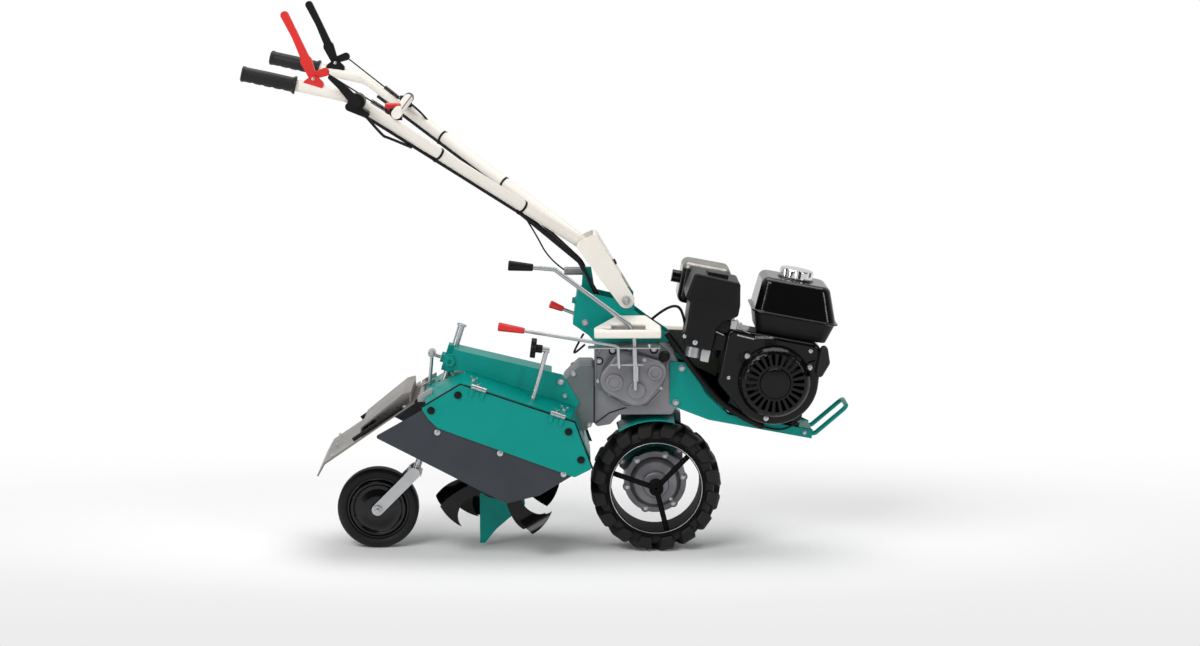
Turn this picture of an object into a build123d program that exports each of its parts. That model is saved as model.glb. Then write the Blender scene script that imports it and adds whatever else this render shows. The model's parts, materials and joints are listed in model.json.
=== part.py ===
"""Walk-behind tractor on one drive wheel, with a rear rotary ridger, as separate named pieces.

Millimetres. The side view is drawn with the drive axle at x = 0 and the floor at z = FLOOR_Z;
+X is forward, +Y is the machine's left and +Z is up. On export every piece is moved so
that the origin lies on the floor below the middle of the whole machine.
"""

import os
from math import atan2, cos, degrees, radians, sin

from build123d import *

# Overall
FRONT_REACH = 429.0
REAR_REACH = 879.89
AXLE_X = (REAR_REACH - FRONT_REACH) / 2
FLOOR_Z = -23.4

# Drive wheel
WHEEL_R = 146.0
TYRE_W = 100.0
WHEEL_Y = -15.0
RIM_R = WHEEL_R - 46.0
AXLE_Z = FLOOR_Z + WHEEL_R
SPOKE_ANGLES = (44.0, 162.0, 284.0)
SPOKE_R = 6.0
HUB_R = 16.0
HUB_Y = WHEEL_Y - TYRE_W / 2 - 7.0
HUB_LEN = 36.0
AXLE_R = 12.5
RUNNING = 0.08

# Leg and final drive, on the left of the wheel
LEG_Y = WHEEL_Y + TYRE_W / 2 + 11.0
LEG_W = 34.0
DRUM_R = 70.0
FLANGE_Y = LEG_Y - 35.0
FENDER_R = WHEEL_R + 6.0
SHEET_T = 2.5

# Engine, tilted nose down about its crankshaft
ENGINE_TILT = 10.6
CRANK_X = 255.0
CRANK_Z = 378.0
BASE_W = 106.0
FAN_R = 97.0
SHROUD_Y = 140.0
RECOIL_R = 80.0
RECOIL_SLOTS = 24
TANK_SEAM_W = 143.0

# Chassis
CASE_HALF_W = 52.0
COVER_Y = 85.0
FRAME_T = 4.0
LOOP_D = 10.0

# Rotary unit
ROTOR_X = -350.0
ROTOR_Z = 165.0
TIP_R = 150.0
ROTOR_HALF_W = 125.0
ARM_HALF_W = 28.0
TINE_T = 6.0
TINE_BEND_AT = 105.0
TINE_BEND_R = 60.0
FLANGE_ROWS = (56.0, 106.0)
HOOD_HALF_W = 139.0
HOOD_DECK_HALF_W = 80.0
HOOD_DROP = 13.5
HOOD_T = 3.0
PANEL_Y = HOOD_HALF_W + 8.0
PANEL_T = 3.0
SKIRT_T = 2.5
HINGE_Y = PANEL_Y + 8.0
HINGE_RISE = 6.0
HINGE_PLACES = (40.0, 222.0)
FLAP_LUGS = (-96.0, 22.0, 96.0)
ADJUSTER_Y = -HOOD_DECK_HALF_W - 20.0

# Gauge wheel
STEM_X = -457.0
STEM_Y = 0.0
STEM_Z = 404.0
BOSS_Z = 411.0
BEAM_Y = 58.0
STEM_R = 8.0
STEM_TILT = 17.67
STEM_TOP = 84.0
STEM_LEN = 348.0
GAUGE_R = 91.0
GAUGE_W = 44.0
GAUGE_X = -623.0
GAUGE_Z = FLOOR_Z + GAUGE_R
FORK_GAP = GAUGE_W / 2 + 6.0
FORK_T = 5.0

# Handle
PIVOT_X = -67.0
PIVOT_Z = 544.0
TUBE_R = 12.5
TUBE_LOW = (-105.0, 26.0, 590.0)
TUBE_KNEE = (-165.0, 26.0, 668.0)
TUBE_BEND = (-655.0, 262.0, 1010.0)
TUBE_END = (-870.0, 277.0, 1058.0)
COLUMN_Y = 46.0
GRIP_LEN = 116.0
GRIP_R = TUBE_R + 3.0
CABLE_R = 3.5
LEVER_X = -727.0
LEVER_Y = 267.0
LEVER_Z = 1035.5 + TUBE_R
CROSS_R = 11.0
CROSS_AT = 0.8286

# Side view of the rotary unit
PANEL_A = (-430.0, 374.0)
PANEL_B = (-182.0, 289.0)
DECK = [(-146.0, 190.0), (-181.0, 307.0), (-421.0, 388.0), (-513.0, 340.0)]
FLAP_HINGE = (-520.0, 333.0)

ENGINE = Location((CRANK_X, 0, CRANK_Z), (0, ENGINE_TILT, 0))


def across(face, y_low, y_high):
    """Extrude a side-view face across the machine, from y_low to y_high."""
    return extrude(Plane.XZ.offset(-y_high) * face, amount=y_high - y_low)


def outline(points, radius=0.0):
    """Closed side-view outline with all its corners rounded alike."""
    face = make_face(Polyline(*points, close=True))
    if radius > 0:
        face = fillet(face.vertices(), radius)
    return face


def plate(points, y_low, y_high, radius=0.0):
    """Side-view outline extruded across the machine."""
    return across(outline(points, radius), y_low, y_high)


def disc(x, z, radius, y_low, y_high):
    """Round piece with its axis across the machine."""
    return across(Pos(x, z) * Circle(radius), y_low, y_high)


def hull_of(circles):
    """Side-view outline wrapped around circles given as (x, z, radius)."""
    edges = []
    for x, z, radius in circles:
        edges.extend((Pos(x, z) * Circle(radius)).edges())
    return make_hull(edges)


def turned(points, x, y, z):
    """Body of revolution about a line across the machine, from (radius, offset) points."""
    face = make_face(Polyline(*points, close=True))
    return Pos(x, y, z) * revolve(face, axis=Axis.Y)


def bar(points, radius, bend=0.0):
    """Round bar along straight runs joined by tangent arcs."""
    if len(points) == 2:
        path = Line(points[0], points[1])
    else:
        path = FilletPolyline(*points, radius=bend)
    return sweep(Plane(origin=path @ 0, z_dir=path % 0) * Circle(radius), path=path)


def knob(start, end, neck, head):
    """Tapered round knob on the end of a lever."""
    run = Vector(*end) - Vector(*start)
    cone = Pos(0, 0, run.length / 2) * Cone(neck, head, run.length)
    cone = fillet(cone.edges().filter_by(GeomType.CIRCLE), 3)
    return Plane(origin=start, z_dir=run).location * cone


def block(x0, x1, y0, y1, z0, z1):
    """Box between two corners."""
    size = Box(x1 - x0, y1 - y0, z1 - z0)
    return Pos((x0 + x1) / 2, (y0 + y1) / 2, (z0 + z1) / 2) * size


def mirrored(shape):
    """The same piece on the machine's other side."""
    return mirror(shape, about=Plane.XZ)


def group(*shapes):
    """Like pieces of one node, kept as separate solids."""
    return Compound(children=[solid for shape in shapes for solid in shape.solids()])


def both(shape):
    """A piece and its mirror image, as two solids."""
    return group(shape, mirrored(shape))


# Drive wheel and axle


def drive_tyre():
    """Tyre, plain section with the tread's outer radius."""
    half = TYRE_W / 2
    wall = [
        (RIM_R + 4, half - 10),
        (RIM_R + 11, half - 5),
        (RIM_R + 20, half),
        (RIM_R + 34, half - 1),
        (WHEEL_R - 2, half - 8),
        (WHEEL_R, half - 12),
    ]
    section = [(r, -y) for r, y in wall] + wall[::-1]
    return turned(section, 0, WHEEL_Y, AXLE_Z)


def drive_wheel():
    """Rim with its three spokes, hub and axle."""
    half = TYRE_W / 2
    lip = [
        (RIM_R, half - 2),
        (RIM_R + 11, half - 2),
        (RIM_R + 11, half - 5),
        (RIM_R + 4, half - 10),
    ]
    section = [(r, -y) for r, y in lip] + lip[::-1]
    wheel = turned(section, 0, WHEEL_Y, AXLE_Z)
    spoke = bar([(HUB_R - 4, HUB_Y + 12, 0), (RIM_R + 2, HUB_Y + 25, 0)], SPOKE_R)
    for angle in SPOKE_ANGLES:
        wheel += Pos(0, 0, AXLE_Z) * Rot(0, -angle, 0) * spoke
    wheel += disc(0, AXLE_Z, HUB_R, HUB_Y, HUB_Y + HUB_LEN)
    wheel += disc(0, AXLE_Z, AXLE_R, HUB_Y + 2, LEG_Y + LEG_W - 6)
    wheel -= disc(0, AXLE_Z, AXLE_R - 1, HUB_Y - 1, HUB_Y + 3)
    wheel -= disc(0, AXLE_Z, 3, HUB_Y - 1, HUB_Y + 10)
    return wheel


# Transmission


def transmission_case():
    """Upper gear case over the wheel and the leg down its left side to the axle."""
    upper = outline(
        [
            (-137, 449), (4, 449), (40, 420), (52, 395), (46, 318), (36, 288),
            (-82, 288), (-102, 266), (-137, 260),
        ],
        9,
    )
    case = across(upper, -CASE_HALF_W, CASE_HALF_W)
    leg = [
        (-74, 330), (26, 330), (26, 296), (58, 272),
        (64, AXLE_Z + 44), (50, AXLE_Z), (-50, AXLE_Z), (-80, AXLE_Z + 26),
    ]
    case += plate(leg, LEG_Y, LEG_Y + LEG_W)
    case += disc(0, AXLE_Z, DRUM_R, FLANGE_Y, LEG_Y + LEG_W)
    for x, z in ((-74, AXLE_Z + 40), (56, AXLE_Z + 66)):
        case += disc(x, z, 9, LEG_Y - 8, LEG_Y + LEG_W)
    case += disc(-4, 388, 25, CASE_HALF_W - 2, 84)
    case -= disc(0, AXLE_Z, AXLE_R + RUNNING, FLANGE_Y - 1, LEG_Y + LEG_W - 5.5)
    return case


def final_drive_covers():
    """Domed bearing cover towards the wheel and the plain cap on the leg's left side."""
    bore = AXLE_R + RUNNING
    dome = [
        (bore, -43), (27, -43), (30, -40), (30, -25), (48, -23), (55, -16), (57, -9),
        (DRUM_R, -9), (DRUM_R, 0), (bore, 0),
    ]
    cover = turned(dome, 0, FLANGE_Y, AXLE_Z)
    for angle in (10, 70, 130, 190, 250, 310):
        x = (DRUM_R - 6) * cos(radians(angle))
        z = AXLE_Z + (DRUM_R - 6) * sin(radians(angle))
        cover += disc(x, z, 10, FLANGE_Y - 9, FLANGE_Y) - turned(dome, 0, FLANGE_Y, AXLE_Z)
    cap = turned([(0, 0), (46, 0), (46, 5), (40, 10), (0, 10)], 0, LEG_Y + LEG_W, AXLE_Z)
    return group(cover, cap)


def gear_cover():
    """Right gear cover: a flange, the domed cover on it and three bearing lobes."""
    flange = outline(
        [
            (-137, 425), (-137, 352), (-104, 328), (-70, 306), (-20, 306),
            (14, 344), (26, 376), (26, 430), (2, 447), (-118, 447),
        ],
        9,
    )
    step = -CASE_HALF_W - 11
    cover = across(flange, step, -CASE_HALF_W)
    dome = across(hull_of([(-93, 369, 34), (-45, 350, 38), (-4, 388, 27), (-72, 408, 28)]), -COVER_Y, step)
    cover += fillet(dome.faces().sort_by(Axis.Y)[0].edges(), 7)
    for x, z, radius, sunk in ((-94, 367, 19, 3), (-45, 349, 19, 0), (-4, 388, 16, 3)):
        lobe = disc(x, z, radius, -COVER_Y - 7, -COVER_Y)
        lobe = fillet(lobe.faces().sort_by(Axis.Y)[0].edges(), 2)
        cover += lobe - disc(x, z, radius - 6, -COVER_Y - 8, -COVER_Y - 7 + sunk)
    return cover


def mudguards():
    """Arched sheet over the tyre and its side plate on the leg."""
    wheel = Pos(0, AXLE_Z)
    arch = wheel * (Circle(FENDER_R + SHEET_T) - Circle(FENDER_R))
    arch &= outline([(0, AXLE_Z), (-FENDER_R * 1.3, AXLE_Z + 310), (72, AXLE_Z + 260)])
    guard = across(arch, WHEEL_Y - TYRE_W / 2 + 3, LEG_Y)
    side = wheel * (Circle(FENDER_R + SHEET_T) - Circle(DRUM_R + 1))
    side &= outline([(-96, AXLE_Z + 160), (48, AXLE_Z + 160), (44, AXLE_Z + 32), (-60, AXLE_Z + 32)])
    return guard + across(side, LEG_Y - SHEET_T, LEG_Y)


# Rotary drive


def rotor_drive_case():
    """Housing behind the gear case with the arm down to the rotor."""
    housing = outline([(-137, 398), (-137, 274), (-158, 252), (-204, 264), (-224, 302), (-204, 366), (-172, 398)], 8)
    case = across(housing, -58, 58)
    case += across(hull_of([(-174, 312, 36), (ROTOR_X, ROTOR_Z, 45)]), -ARM_HALF_W, ARM_HALF_W)
    case += disc(ROTOR_X, ROTOR_Z, 32, -ARM_HALF_W - 4, ARM_HALF_W + 4)
    case -= disc(ROTOR_X, ROTOR_Z, 16 + RUNNING, -40, 40)
    return case


def rotor_shaft():
    """Rotor shaft with the two tine flanges on each side."""
    shaft = disc(ROTOR_X, ROTOR_Z, 16, -ROTOR_HALF_W + 2, ROTOR_HALF_W - 2)
    for face in FLANGE_ROWS:
        for low, high, radius in ((face - 8, face, 56), (face - 14, face + 6, 24)):
            shaft += disc(ROTOR_X, ROTOR_Z, radius, low, high)
            shaft += disc(ROTOR_X, ROTOR_Z, radius, -high, -low)
    return shaft


def polar(radius, angle):
    """Side-view point around an axis at zero."""
    return (radius * cos(radians(angle)), radius * sin(radians(angle)))


def tine():
    """One tine about the rotor's axis: a flat arm whose blade bends sideways, sharpened to its tip."""
    lead = Spline(*[polar(r, a) for r, a in ((30, -24), (70, -10), (112, -6), (TIP_R, 0))])
    edge = Spline(*[polar(r, a) for r, a in ((TIP_R, 0), (TIP_R - 1, 12), (TIP_R - 6, 25))])
    trail = Spline(*[polar(r, a) for r, a in ((TIP_R - 6, 25), (124, 14), (100, 9), (70, 12), (30, 30))])
    root = Line(polar(30, 30), polar(30, -24))
    side = across(make_face([lead, edge, trail, root]), -TINE_T, TINE_BEND_R)
    bend = Pos(TINE_BEND_AT, TINE_BEND_R) * (Circle(TINE_BEND_R + TINE_T) - Circle(TINE_BEND_R))
    bend &= Pos(TINE_BEND_AT + TIP_R / 2, TINE_BEND_R / 2 - TINE_T) * Rectangle(TIP_R, TINE_BEND_R)
    sheet = Pos(TINE_BEND_AT / 2, -TINE_T / 2) * Rectangle(TINE_BEND_AT, TINE_T) + bend
    return side & extrude(Plane.XY * sheet, amount=TIP_R, both=True)


def rotor_tines():
    """Four tines on each of the four flanges, bent outward and inward by turns."""
    outward = Pos(0, TINE_T, 0) * tine()
    inward = mirrored(tine())
    tines = []
    for row, face in enumerate(FLANGE_ROWS):
        for k in range(4):
            blade = outward if k % 2 == row else inward
            right = Rot(0, -201 - 90 * k - 9 * row, 0) * Pos(0, face, 0) * blade
            left = Rot(0, -225 - 90 * k - 9 * row, 0) * Pos(0, face, 0) * blade
            tines.append(Pos(ROTOR_X, 0, ROTOR_Z) * mirrored(right))
            tines.append(Pos(ROTOR_X, 0, ROTOR_Z) * left)
    return group(*tines)


def skid_plate(case):
    """Thin guard plate below the rotor drive case."""
    low = FLOOR_Z + 7
    shape = outline([(-395, 140), (-395, low), (-384, low), (-358, 16), (-293, 72), (-300, 140)])
    return across(shape, -3, 3) - case


# Engine


def engine_frame():
    """Two side plates bolted to the gear case, joined by the engine bed."""
    side = [
        (30, 408), (72, 404), (110, 335), (160, 288.0), (349, 252.6), (346, 233), (116, 276), (44, 304), (30, 312),
    ]
    right = plate(side, -CASE_HALF_W - FRAME_T, -CASE_HALF_W)
    bed = block(-84, 113, -CASE_HALF_W - 1, CASE_HALF_W + 1, -BASE_W - 4, -BASE_W)
    return right + mirrored(right) + ENGINE * bed


def front_loop():
    """Round guard bar in front of the engine."""
    points = []
    back = Vector(*(ENGINE * Pos(62, 0, -BASE_W - 9.4)).position)
    base = Vector(*(ENGINE * Pos(121, 0, -BASE_W - 9.4)).position)
    tip_x = FRONT_REACH - LOOP_D / 2
    y = CASE_HALF_W - LOOP_D / 2 - 0.4
    for x, z in ((back.X, back.Z), (base.X, base.Z), (tip_x, 304)):
        points.append((x, -y, z))
    points.extend((x, -v, z) for x, v, z in reversed(list(points)))
    return bar(points, LOOP_D / 2, 14)


def engine_block():
    """Crankcase on its feet, the inclined finned cylinder and the shaft boss."""
    engine = block(-84, 84, -46, 48, -BASE_W, -BASE_W + 10)
    case = block(-80, 85, -54, 80, -BASE_W + 10, 60)
    engine += fillet(case.edges().filter_by(Axis.Y), 14)
    engine += Rot(90, 0, 0) * Pos(0, 0, -82) * Cylinder(30, 4)
    barrel = block(40, 155, -16, 60, -37, 37)
    for k in range(6):
        barrel += block(92 + 11 * k, 97 + 11 * k, -18, 62, -45, 45)
    engine += Rot(0, -155, 0) * barrel
    return ENGINE * engine


def fan_shroud():
    """Sheet shroud around the flywheel, its front edge rolled, open towards the crankcase."""
    shape = hull_of([(0, 0, FAN_R), (-102, -16, 20), (-104, 80, 18), (66, 72, 26)])
    outer = across(shape, -SHROUD_Y, -54)
    inner = across(offset(shape, -SHEET_T), -SHROUD_Y + SHEET_T, -54)
    shroud = fillet(outer.faces().sort_by(Axis.Y)[0].edges(), 9)
    shroud -= fillet(inner.faces().sort_by(Axis.Y)[0].edges(), 9 - SHEET_T)
    shroud -= disc(0, 0, 66, -SHROUD_Y - 1, -SHROUD_Y + 10)
    return ENGINE * shroud


def recoil_cover():
    """Round starter cover with a raised hub and a ring of radial cooling slots."""
    shell = [
        (0, -171), (18, -170.5), (32, -169), (35, -165), (64, -165), (71, -161), (77, -152),
        (RECOIL_R, -146), (RECOIL_R, -SHROUD_Y), (RECOIL_R - 3, -SHROUD_Y), (RECOIL_R - 3, -146),
        (68, -159), (63, -162), (0, -162),
    ]
    cover = turned(shell, 0, 0, 0)
    slot = plate([(39, -2.4), (64, -4.6), (64, 4.6), (39, 2.4)], -172, -158, 2)
    for k in range(RECOIL_SLOTS):
        cover -= Rot(0, 360 * k / RECOIL_SLOTS, 0) * slot
    core = disc(0, 0, RECOIL_R - 1, -150, -SHROUD_Y + 1)
    for angle in (147, 33, 268):
        x, z = polar(RECOIL_R + 3, angle)
        cover += disc(x, z, 9, -146, -SHROUD_Y) - core
    return ENGINE * cover


def starter_grip():
    """Pull grip of the starter, at the cover's front edge."""
    grip = across(hull_of([(92, 38, 8), (92, 90, 8), (97, 64, 12)]), -162, -SHROUD_Y)
    return ENGINE * fillet(grip.faces().sort_by(Axis.Y)[0].edges(), 5)


def slab(u0, u1, y0, y1, w, radius):
    """Rounded rectangle at height w in the engine's own frame."""
    face = RectangleRounded(u1 - u0, y1 - y0, radius)
    return Pos((u0 + u1) / 2, (y0 + y1) / 2, w) * face


def fuel_tank():
    """Fuel tank of two pressed halves with the seam flange between them."""
    seam = TANK_SEAM_W
    tank = loft([slab(-57, 97, -116, 38, 98, 18), slab(-70, 110, -126, 46, seam - 2, 26)])
    tank += extrude(slab(-76, 116, -131, 51, seam - 2, 28), amount=4)
    upper = loft([slab(-70, 111, -126, 46, seam + 2, 26), slab(-64, 84, -114, 34, 219, 24)])
    tank += fillet(upper.faces().sort_by(Axis.Z)[-1].edges(), 16)
    tank += Pos(12, -40, 220.5) * Cylinder(40, 4)
    return ENGINE * tank


def fuel_cap():
    """Fuel cap with a scalloped edge."""
    cap = Pos(0, 0, 9) * Cylinder(37, 18)
    cap = fillet(cap.faces().sort_by(Axis.Z)[-1].edges(), 4)
    for k in range(8):
        cap -= Rot(0, 0, 45 * k) * Pos(47.4, 0, 9) * Cylinder(13, 30)
    return ENGINE * Pos(12, -40, 222.5) * cap


def air_cleaner():
    """Air cleaner with its intake leg, moulded with rounded outer edges."""
    points = [
        (-226, 146), (-216, 203), (-114, 199), (-105, 150), (-105, 126), (-136, 106), (-146, 92),
        (-146, 41), (-210, 41), (-214, 138),
    ]
    body = plate(points, -140, -20, 8)
    return ENGINE * fillet(body.faces().sort_by(Axis.Y)[0].edges(), 7)


def carburettor():
    """Carburettor between cylinder and air cleaner, and its float bowl."""
    body = block(-146, -124, -76, -18, 48, 86)
    bowl = Pos(-184, -96, 28) * Cylinder(17, 26)
    return group(ENGINE * body, ENGINE * bowl)


def muffler(engine):
    """Muffler box with its outlet and the pipe up from the cylinder."""
    box = block(-234, -124, 4, 112, 112, 206)
    box = fillet(box.edges(), 16)
    box += Pos(-240, 58, 163) * Rot(0, 90, 0) * Cylinder(14, 24)
    box += Pos(-136, 30, 100) * Cylinder(13, 34)
    return ENGINE * box - engine


def belt_cover():
    """Cover over the belt between engine and gear case, on the left side."""
    cover = across(hull_of([(CRANK_X, CRANK_Z, 68), (-4, 388, 72)]), 84, 136)
    return fillet(cover.faces().sort_by(Axis.Y)[-1].edges(), 10)


def wire_conduit():
    """Corrugated wire conduit along the engine frame."""
    y = -CASE_HALF_W - FRAME_T - 7.8
    return bar([(22, y, 474), (95, y, 373), (157, y, 299), (237, y, 262)], 7.5, 45)


# Handle mount and controls on the gear case


def handle_mount():
    """Open box on the gear case with the ears and bolt of the handle pivot."""
    side = [
        (-175, 566), (-185, 490), (-151, 466), (-136, 449), (27, 449), (27, 466), (-20, 498),
        (-49, 520), (-49, 550), (-60, 561), (-74, 561), (-90, 546),
    ]
    mount = plate(side, -45, -41) + plate(side, 41, 45)
    mount += block(-134, 10, -42, 42, 449, 454)
    mount += plate([(-175, 566), (-185, 490), (-181, 489), (-171, 565)], -42, 42)
    mount += disc(PIVOT_X, PIVOT_Z, 6, -57, 57)
    for side in (-1, 1):
        low, high = sorted((side * 49.4, side * 57))
        mount += disc(PIVOT_X, PIVOT_Z, 10, low, high)
    return mount


def lock_arm():
    """Upright arm that carries the handle's locking pin."""
    return plate([(-132, 454), (-100, 454), (-136, 560), (-144, 612), (-162, 612), (-166, 560)], -6, 6)


def lock_pin(arm):
    """Locking pin housing at the top of the arm."""
    housing = Pos(-182, 0, 603) * Rot(0, 90, 0) * Cylinder(9, 44)
    return housing - arm


def shift_guide():
    """Sloping guide tray for the shift lever, with a rolled lip."""
    section = [
        (-45, 511), (-108, 491), (-115, 487), (-118, 480), (-118, 470), (-114, 470), (-114, 479),
        (-111, 483), (-49, 501), (-49, 472), (-45, 472),
    ]
    tray = extrude(Plane.YZ.offset(-139) * make_face(Polyline(*section, close=True)), amount=147)
    for corner in ([(-140, -40), (-84, -40), (-140, -104)], [(9, -40), (-27, -40), (9, -96)]):
        wedge = make_face(Polyline(*corner, close=True))
        tray -= extrude(Plane.XY.offset(460) * wedge, amount=60)
    tray -= block(-100, -26, -109, -86, 460, 520)
    return tray


def shift_lever():
    """Main shift lever, from the shifter shaft up through its guide."""
    y = -COVER_Y - 12.3
    return bar([(-48, y, 352), (-50, y, 468), (-62, y, 498), (-225, -60, 615), (-272, -60, 619)], 5, 14)


def shift_knob():
    """Knob of the shift lever."""
    return knob((-272, -60, 619), (-327, -60, 623.68), 8, 11.5)


def pto_lever():
    """Lever that engages the rotor."""
    return bar([(-84, -COVER_Y, 400), (-84, -110, 400), (-86, -110, 452), (-291, -90, 483)], 4, 9)


def small_lever(mount):
    """Short rod of the small lever behind the mount."""
    return bar([(-176, 0, 505), (-206, 0, 517)], 4) - mount


def red_knobs():
    """Red knobs of the two short levers."""
    long_knob = knob((-291, -90, 483), (-349.06, -84.34, 491.78), 6.5, 10)
    short_knob = knob((-206, 0, 517), (-236, 0, 529), 6, 9)
    return group(long_knob, short_knob)


# Rotary hood, beam and gauge wheel


def stem_frame(along, x=0.0, y=0.0):
    """Place on the gauge stem's own axes, along the stem from its tube's middle."""
    return Location((STEM_X, STEM_Y, STEM_Z), (0, STEM_TILT, 0)) * Pos(x, y, along)


def rotary_beam():
    """Folded beam on the housing's right side, with the stem tube and the clamp bosses."""
    web = [(-464, 392), (-448, 438), (-434, 434), (-208, 380), (-170, 317), (-176, 305.4), (-421, 388)]
    beam = plate(web, -BEAM_Y - FRAME_T, -BEAM_Y) + disc(STEM_X, BOSS_Z, 15, -BEAM_Y - FRAME_T, -BEAM_Y)
    rear, front = web[2], web[3]
    end = (-232, rear[1] + (front[1] - rear[1]) * (-232 - rear[0]) / (front[0] - rear[0]))
    top = [web[1], rear, end]
    beam += plate(top + [(x, z - FRAME_T) for x, z in reversed(top)], -BEAM_Y - 2, STEM_Y + 15)
    beam += stem_frame(4) * Box(30, 30, 60)
    hexagon = extrude(RegularPolygon(12, 6), amount=8)
    beam += Pos(STEM_X, -BEAM_Y - FRAME_T, BOSS_Z) * Rot(90, 0, 0) * hexagon
    beam += stem_frame(0, -15) * Rot(0, -90, 0) * hexagon
    beam -= stem_frame(0) * Cylinder(STEM_R + 0.3, 200)
    beam -= disc(STEM_X, BOSS_Z, 5, -BEAM_Y - 20, -BEAM_Y + 1)
    return beam


def hood_section():
    """Lateral section of the hood, a flat deck with sloping edges."""
    deck, edge, drop = HOOD_DECK_HALF_W, HOOD_HALF_W, HOOD_DROP
    top = [(-edge, -drop), (-deck, 0), (deck, 0), (edge, -drop)]
    return top + [(y, z - HOOD_T) for y, z in reversed(top)]


def panel_frame(along, y=0.0, rise=0.0):
    """Place on the side panel's top edge, measured forward from its rear corner."""
    slope = degrees(atan2(PANEL_A[1] - PANEL_B[1], PANEL_B[0] - PANEL_A[0]))
    return Location((PANEL_A[0], 0, PANEL_A[1]), (0, slope, 0)) * Pos(along, y, rise)


def rotary_hood():
    """Folded hood over the rotor, with the hinge straps of the side panels."""
    path = Polyline(*[(x, 0, z) for x, z in reversed(DECK)])
    start = path @ 0
    along = path % 0
    plane = Plane(origin=start, x_dir=(0, 1, 0), z_dir=along)
    hood = sweep(plane * make_face(Polyline(*hood_section(), close=True)), path=path, transition=Transition.RIGHT)
    hood -= block(-238, -120, -63, 63, 236, 430)
    hood -= stem_frame(0) * Cylinder(14, 320)
    for place in HINGE_PLACES:
        strap = block(-7, 7, -HINGE_Y, -HOOD_HALF_W + 21, -4, 0)
        barrel = Rot(0, 90, 0) * Cylinder(5, 14)
        pin = Rot(0, 90, 0) * Cylinder(2.5, 34)
        hinge = panel_frame(place, 0, HINGE_RISE) * strap
        hinge += panel_frame(place, -HINGE_Y, HINGE_RISE) * barrel
        hinge += panel_frame(place, -HINGE_Y, HINGE_RISE) * pin
        hood += hinge
        hood += mirrored(hinge)
    return hood


def flap_hinge():
    """Lugs and pin of the rear flap's hinge, on the hood's rear edge."""
    x, z = FLAP_HINGE
    pin = disc(x, z, 4, -100, 100)
    lug = outline([(x - 7, z - 6), (x - 7, z + 6), (x + 2, z + 12), (x + 26, z + 25), (x + 26, z - 6)])
    for y in FLAP_LUGS:
        pin += across(lug, y - 4, y + 4)
    return pin


def side_panel():
    """Right side panel with its hinge leaves."""
    points = [PANEL_A, PANEL_B, (-144, 186), (-182, 167), (-481, 278), (-501, 298), (-517, 323)]
    panel = plate(points, -PANEL_Y - PANEL_T, -PANEL_Y, 6)
    for place in HINGE_PLACES:
        for shift in (-12, 12):
            leaf = block(-4.5, 4.5, -PANEL_Y - PANEL_T - 3, -PANEL_Y - 1, -17, 3)
            panel += panel_frame(place + shift) * leaf
            panel += panel_frame(place + shift, -HINGE_Y, HINGE_RISE) * Rot(0, 90, 0) * Cylinder(5, 9)
        panel -= panel_frame(place, -HINGE_Y, HINGE_RISE) * Rot(0, 90, 0) * Cylinder(2.6, 60)
    return panel


def side_skirt():
    """Dark skirt plate behind the right side panel."""
    points = [
        (-430, 362), (-186, 279), (-152, 188), (-190, 168), (-259, 126), (-332, 108), (-425, 156),
        (-620, 258), (-517, 316),
    ]
    return plate(points, -PANEL_Y, -PANEL_Y + SKIRT_T, 5)


def rear_flap():
    """Rear flap with its lip and hinge barrels."""
    x, z = FLAP_HINGE
    sheet = [(x - 2, z + 6), (-732, 197), (-748, 168), (-745, 166), (-730, 193), (x - 4, z + 2)]
    flap = plate(sheet, -130, 130)
    first, middle, last = FLAP_LUGS
    for low, high in ((first, middle), (middle, last)):
        flap += disc(x, z, 8, low + 6, high - 6)
    flap -= disc(x, z, 4 + RUNNING, -140, 140)
    for y in FLAP_LUGS:
        flap -= block(x - 12, x + 40, y - 5, y + 5, z - 40, z + 40)
    flap -= block(x - 12, x + 20, last - 5.5, 140, z - 40, z + 40)
    flap -= block(x - 12, x + 20, -140, first + 5.5, z - 40, z + 40)
    return flap


def flap_sheet():
    """Upper sheet that lies on the flap."""
    top = [(-545, 349), (-560, 345), (-652, 270), (-655, 251), (-652, 248.6), (-649, 268), (-558, 341), (-545, 345)]
    stop = [(-545, 349), (-545, 324), (-541, 322), (-541, 349)]
    return plate(top, -100, 100) + plate(stop, -100, 100)


def flap_stay():
    """Stay rod from the stem tube's clamp down to the hood."""
    stay = bar([(-498, STEM_Y, STEM_Z + 24), (-505, STEM_Y, 346)], 4)
    stay += disc(-499, STEM_Z + 15, 9, STEM_Y - 10, STEM_Y + 10)
    stay += stem_frame(0, -33) * Rot(0, 90, 0) * Cylinder(5, 19)
    return stay


def hood_strip():
    """Plane on the hood's right sloping edge, its normal pointing up."""
    (front_x, front_z), (rear_x, rear_z) = DECK[1], DECK[2]
    along = Vector(rear_x - front_x, 0, rear_z - front_z).normalized()
    up = Vector(along.Z, 0, -along.X)
    slope = Vector(0, HOOD_DECK_HALF_W - HOOD_HALF_W, 0) - up * HOOD_DROP
    return Plane(origin=(front_x, -HOOD_DECK_HALF_W, front_z), x_dir=along, z_dir=along.cross(slope))


def adjuster_rod():
    """Link of the depth adjuster, standing on the hood."""
    rod = bar([(-279, ADJUSTER_Y, 314), (-243, ADJUSTER_Y, 440)], 5)
    rod += bar([(-252, ADJUSTER_Y, 444), (-236, ADJUSTER_Y, 442)], 6)
    return split(rod, bisect_by=hood_strip().offset(0.1))


def adjuster_knob():
    """Lobed clamp knob of the depth adjuster, on its hub."""
    place = Plane(origin=(-252, ADJUSTER_Y, 444), z_dir=(-8, 0, 1))
    star = Circle(22) - PolarLocations(28, 6) * Circle(10)
    lobes = extrude(place.offset(14) * star, amount=12)
    hub = extrude(place * Circle(9), amount=16)
    return fillet(lobes.edges().filter_by(GeomType.CIRCLE), 2) + hub


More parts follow.
